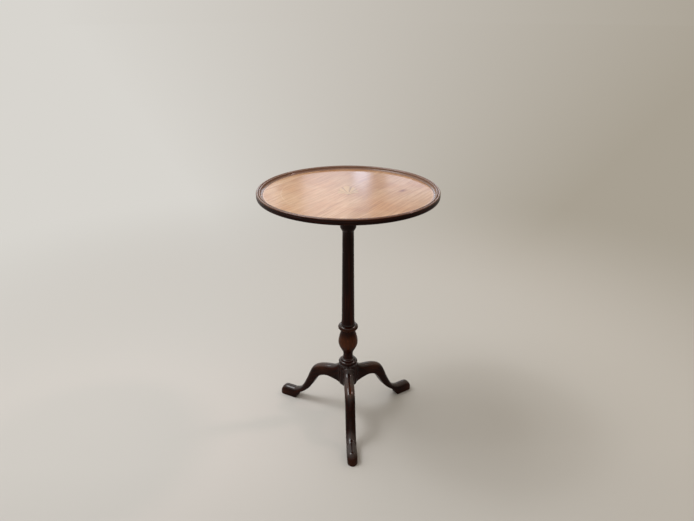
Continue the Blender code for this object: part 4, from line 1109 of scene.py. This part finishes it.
def make_light():
    """Plain soft light: a wide panel high on the left, and small ones behind for the polish to mirror."""
    high_left = (-1.3, 0.2, 2.8)
    pillar, rim, top = (0.0, 0.0, 0.35), (0.0, 0.0, 0.65), (0.0, 0.0, 0.69)
    lamp("main_panel", high_left, pillar, (1.4, 1.4), 28.0, "#fcfdff")
    lamp("main_core", high_left, pillar, (0.34, 0.34), 6.8, "#fcfdff")
    lamp("right_spot", (1.77, 0.3, 2.35), rim, (0.24, 0.24), 0.22, "#ffdcd8", spread=22.0)
    lamp("back_panel", (-0.02, 2.3, 1.42), top, (0.3, 0.5), 0.8, "#edf0ff")
    lamp("back_left", (-0.46, 2.3, 1.42), top, (0.26, 0.5), 0.6, "#edf0ff")
    lamp("back_low", (0.21, 2.3, 1.27), top, (0.1, 0.14), 0.22, "#e4eaff")
    lamp("back_blue", (0.2, 2.3, 1.4), top, (0.14, 0.4), 0.17, "#88ccff")
    lamp("back_right", (0.6, 2.3, 1.28), top, (0.45, 0.25), 0.9, "#e4eaff")
    world = bpy.data.worlds.new("studio")
    bpy.context.scene.world = world
    world.use_nodes = True
    tree = world.node_tree
    direction = add(tree, "ShaderNodeTexCoord").outputs["Generated"]
    fill(tree, tree.nodes["Background"], {"Color": backdrop(tree, direction)})


def make_camera():
    """The photograph's viewpoint: a little above the top, turned slightly from the front leg."""
    data = bpy.data.cameras.new("camera")
    data.sensor_fit = "HORIZONTAL"
    data.sensor_width = 36.0
    data.lens = 31.285
    camera = scratch_object("camera", data)
    camera.location = (-0.0803, -1.4878, 1.151)
    camera.rotation_euler = (math.radians(66.37), 0.0, math.radians(-2.97))
    bpy.context.scene.camera = camera


bpy.context.scene.view_settings.view_transform = "Standard"
make_camera()
mahogany = polished_mahogany()
dry_wood = dry_mahogany()
veneer = faded_veneer()
box_inlay = boxwood()
# Cast and filed brass that has gone brown in patches about 9 mm across
aged_brass = metal("aged_brass", "#b08c4a", "#6e5228", (0.26, 0.5), 9, 0.0001)
# Smith's iron: black scale, hammered over about 7 mm, with a breath of rust
forged_iron = metal("forged_iron", "#3a3735", "#4a342a", (0.45, 0.75), 7, 0.0006)
# Drawn steel wire and cut screws, greyed in patches about 4 mm across
bright_steel = metal("greyed_steel", "#96938d", "#5c5650", (0.3, 0.55), 4, 0.0001)

turning = turning_tree()
coil = coil_tree()
screws = screws_tree()

make_rim()
make_board()
make_field()
make_shell()
make_pillar()
make_legs()
make_underframe()
make_knob()
make_spring()
make_fastenings()

make_floor()
make_light()
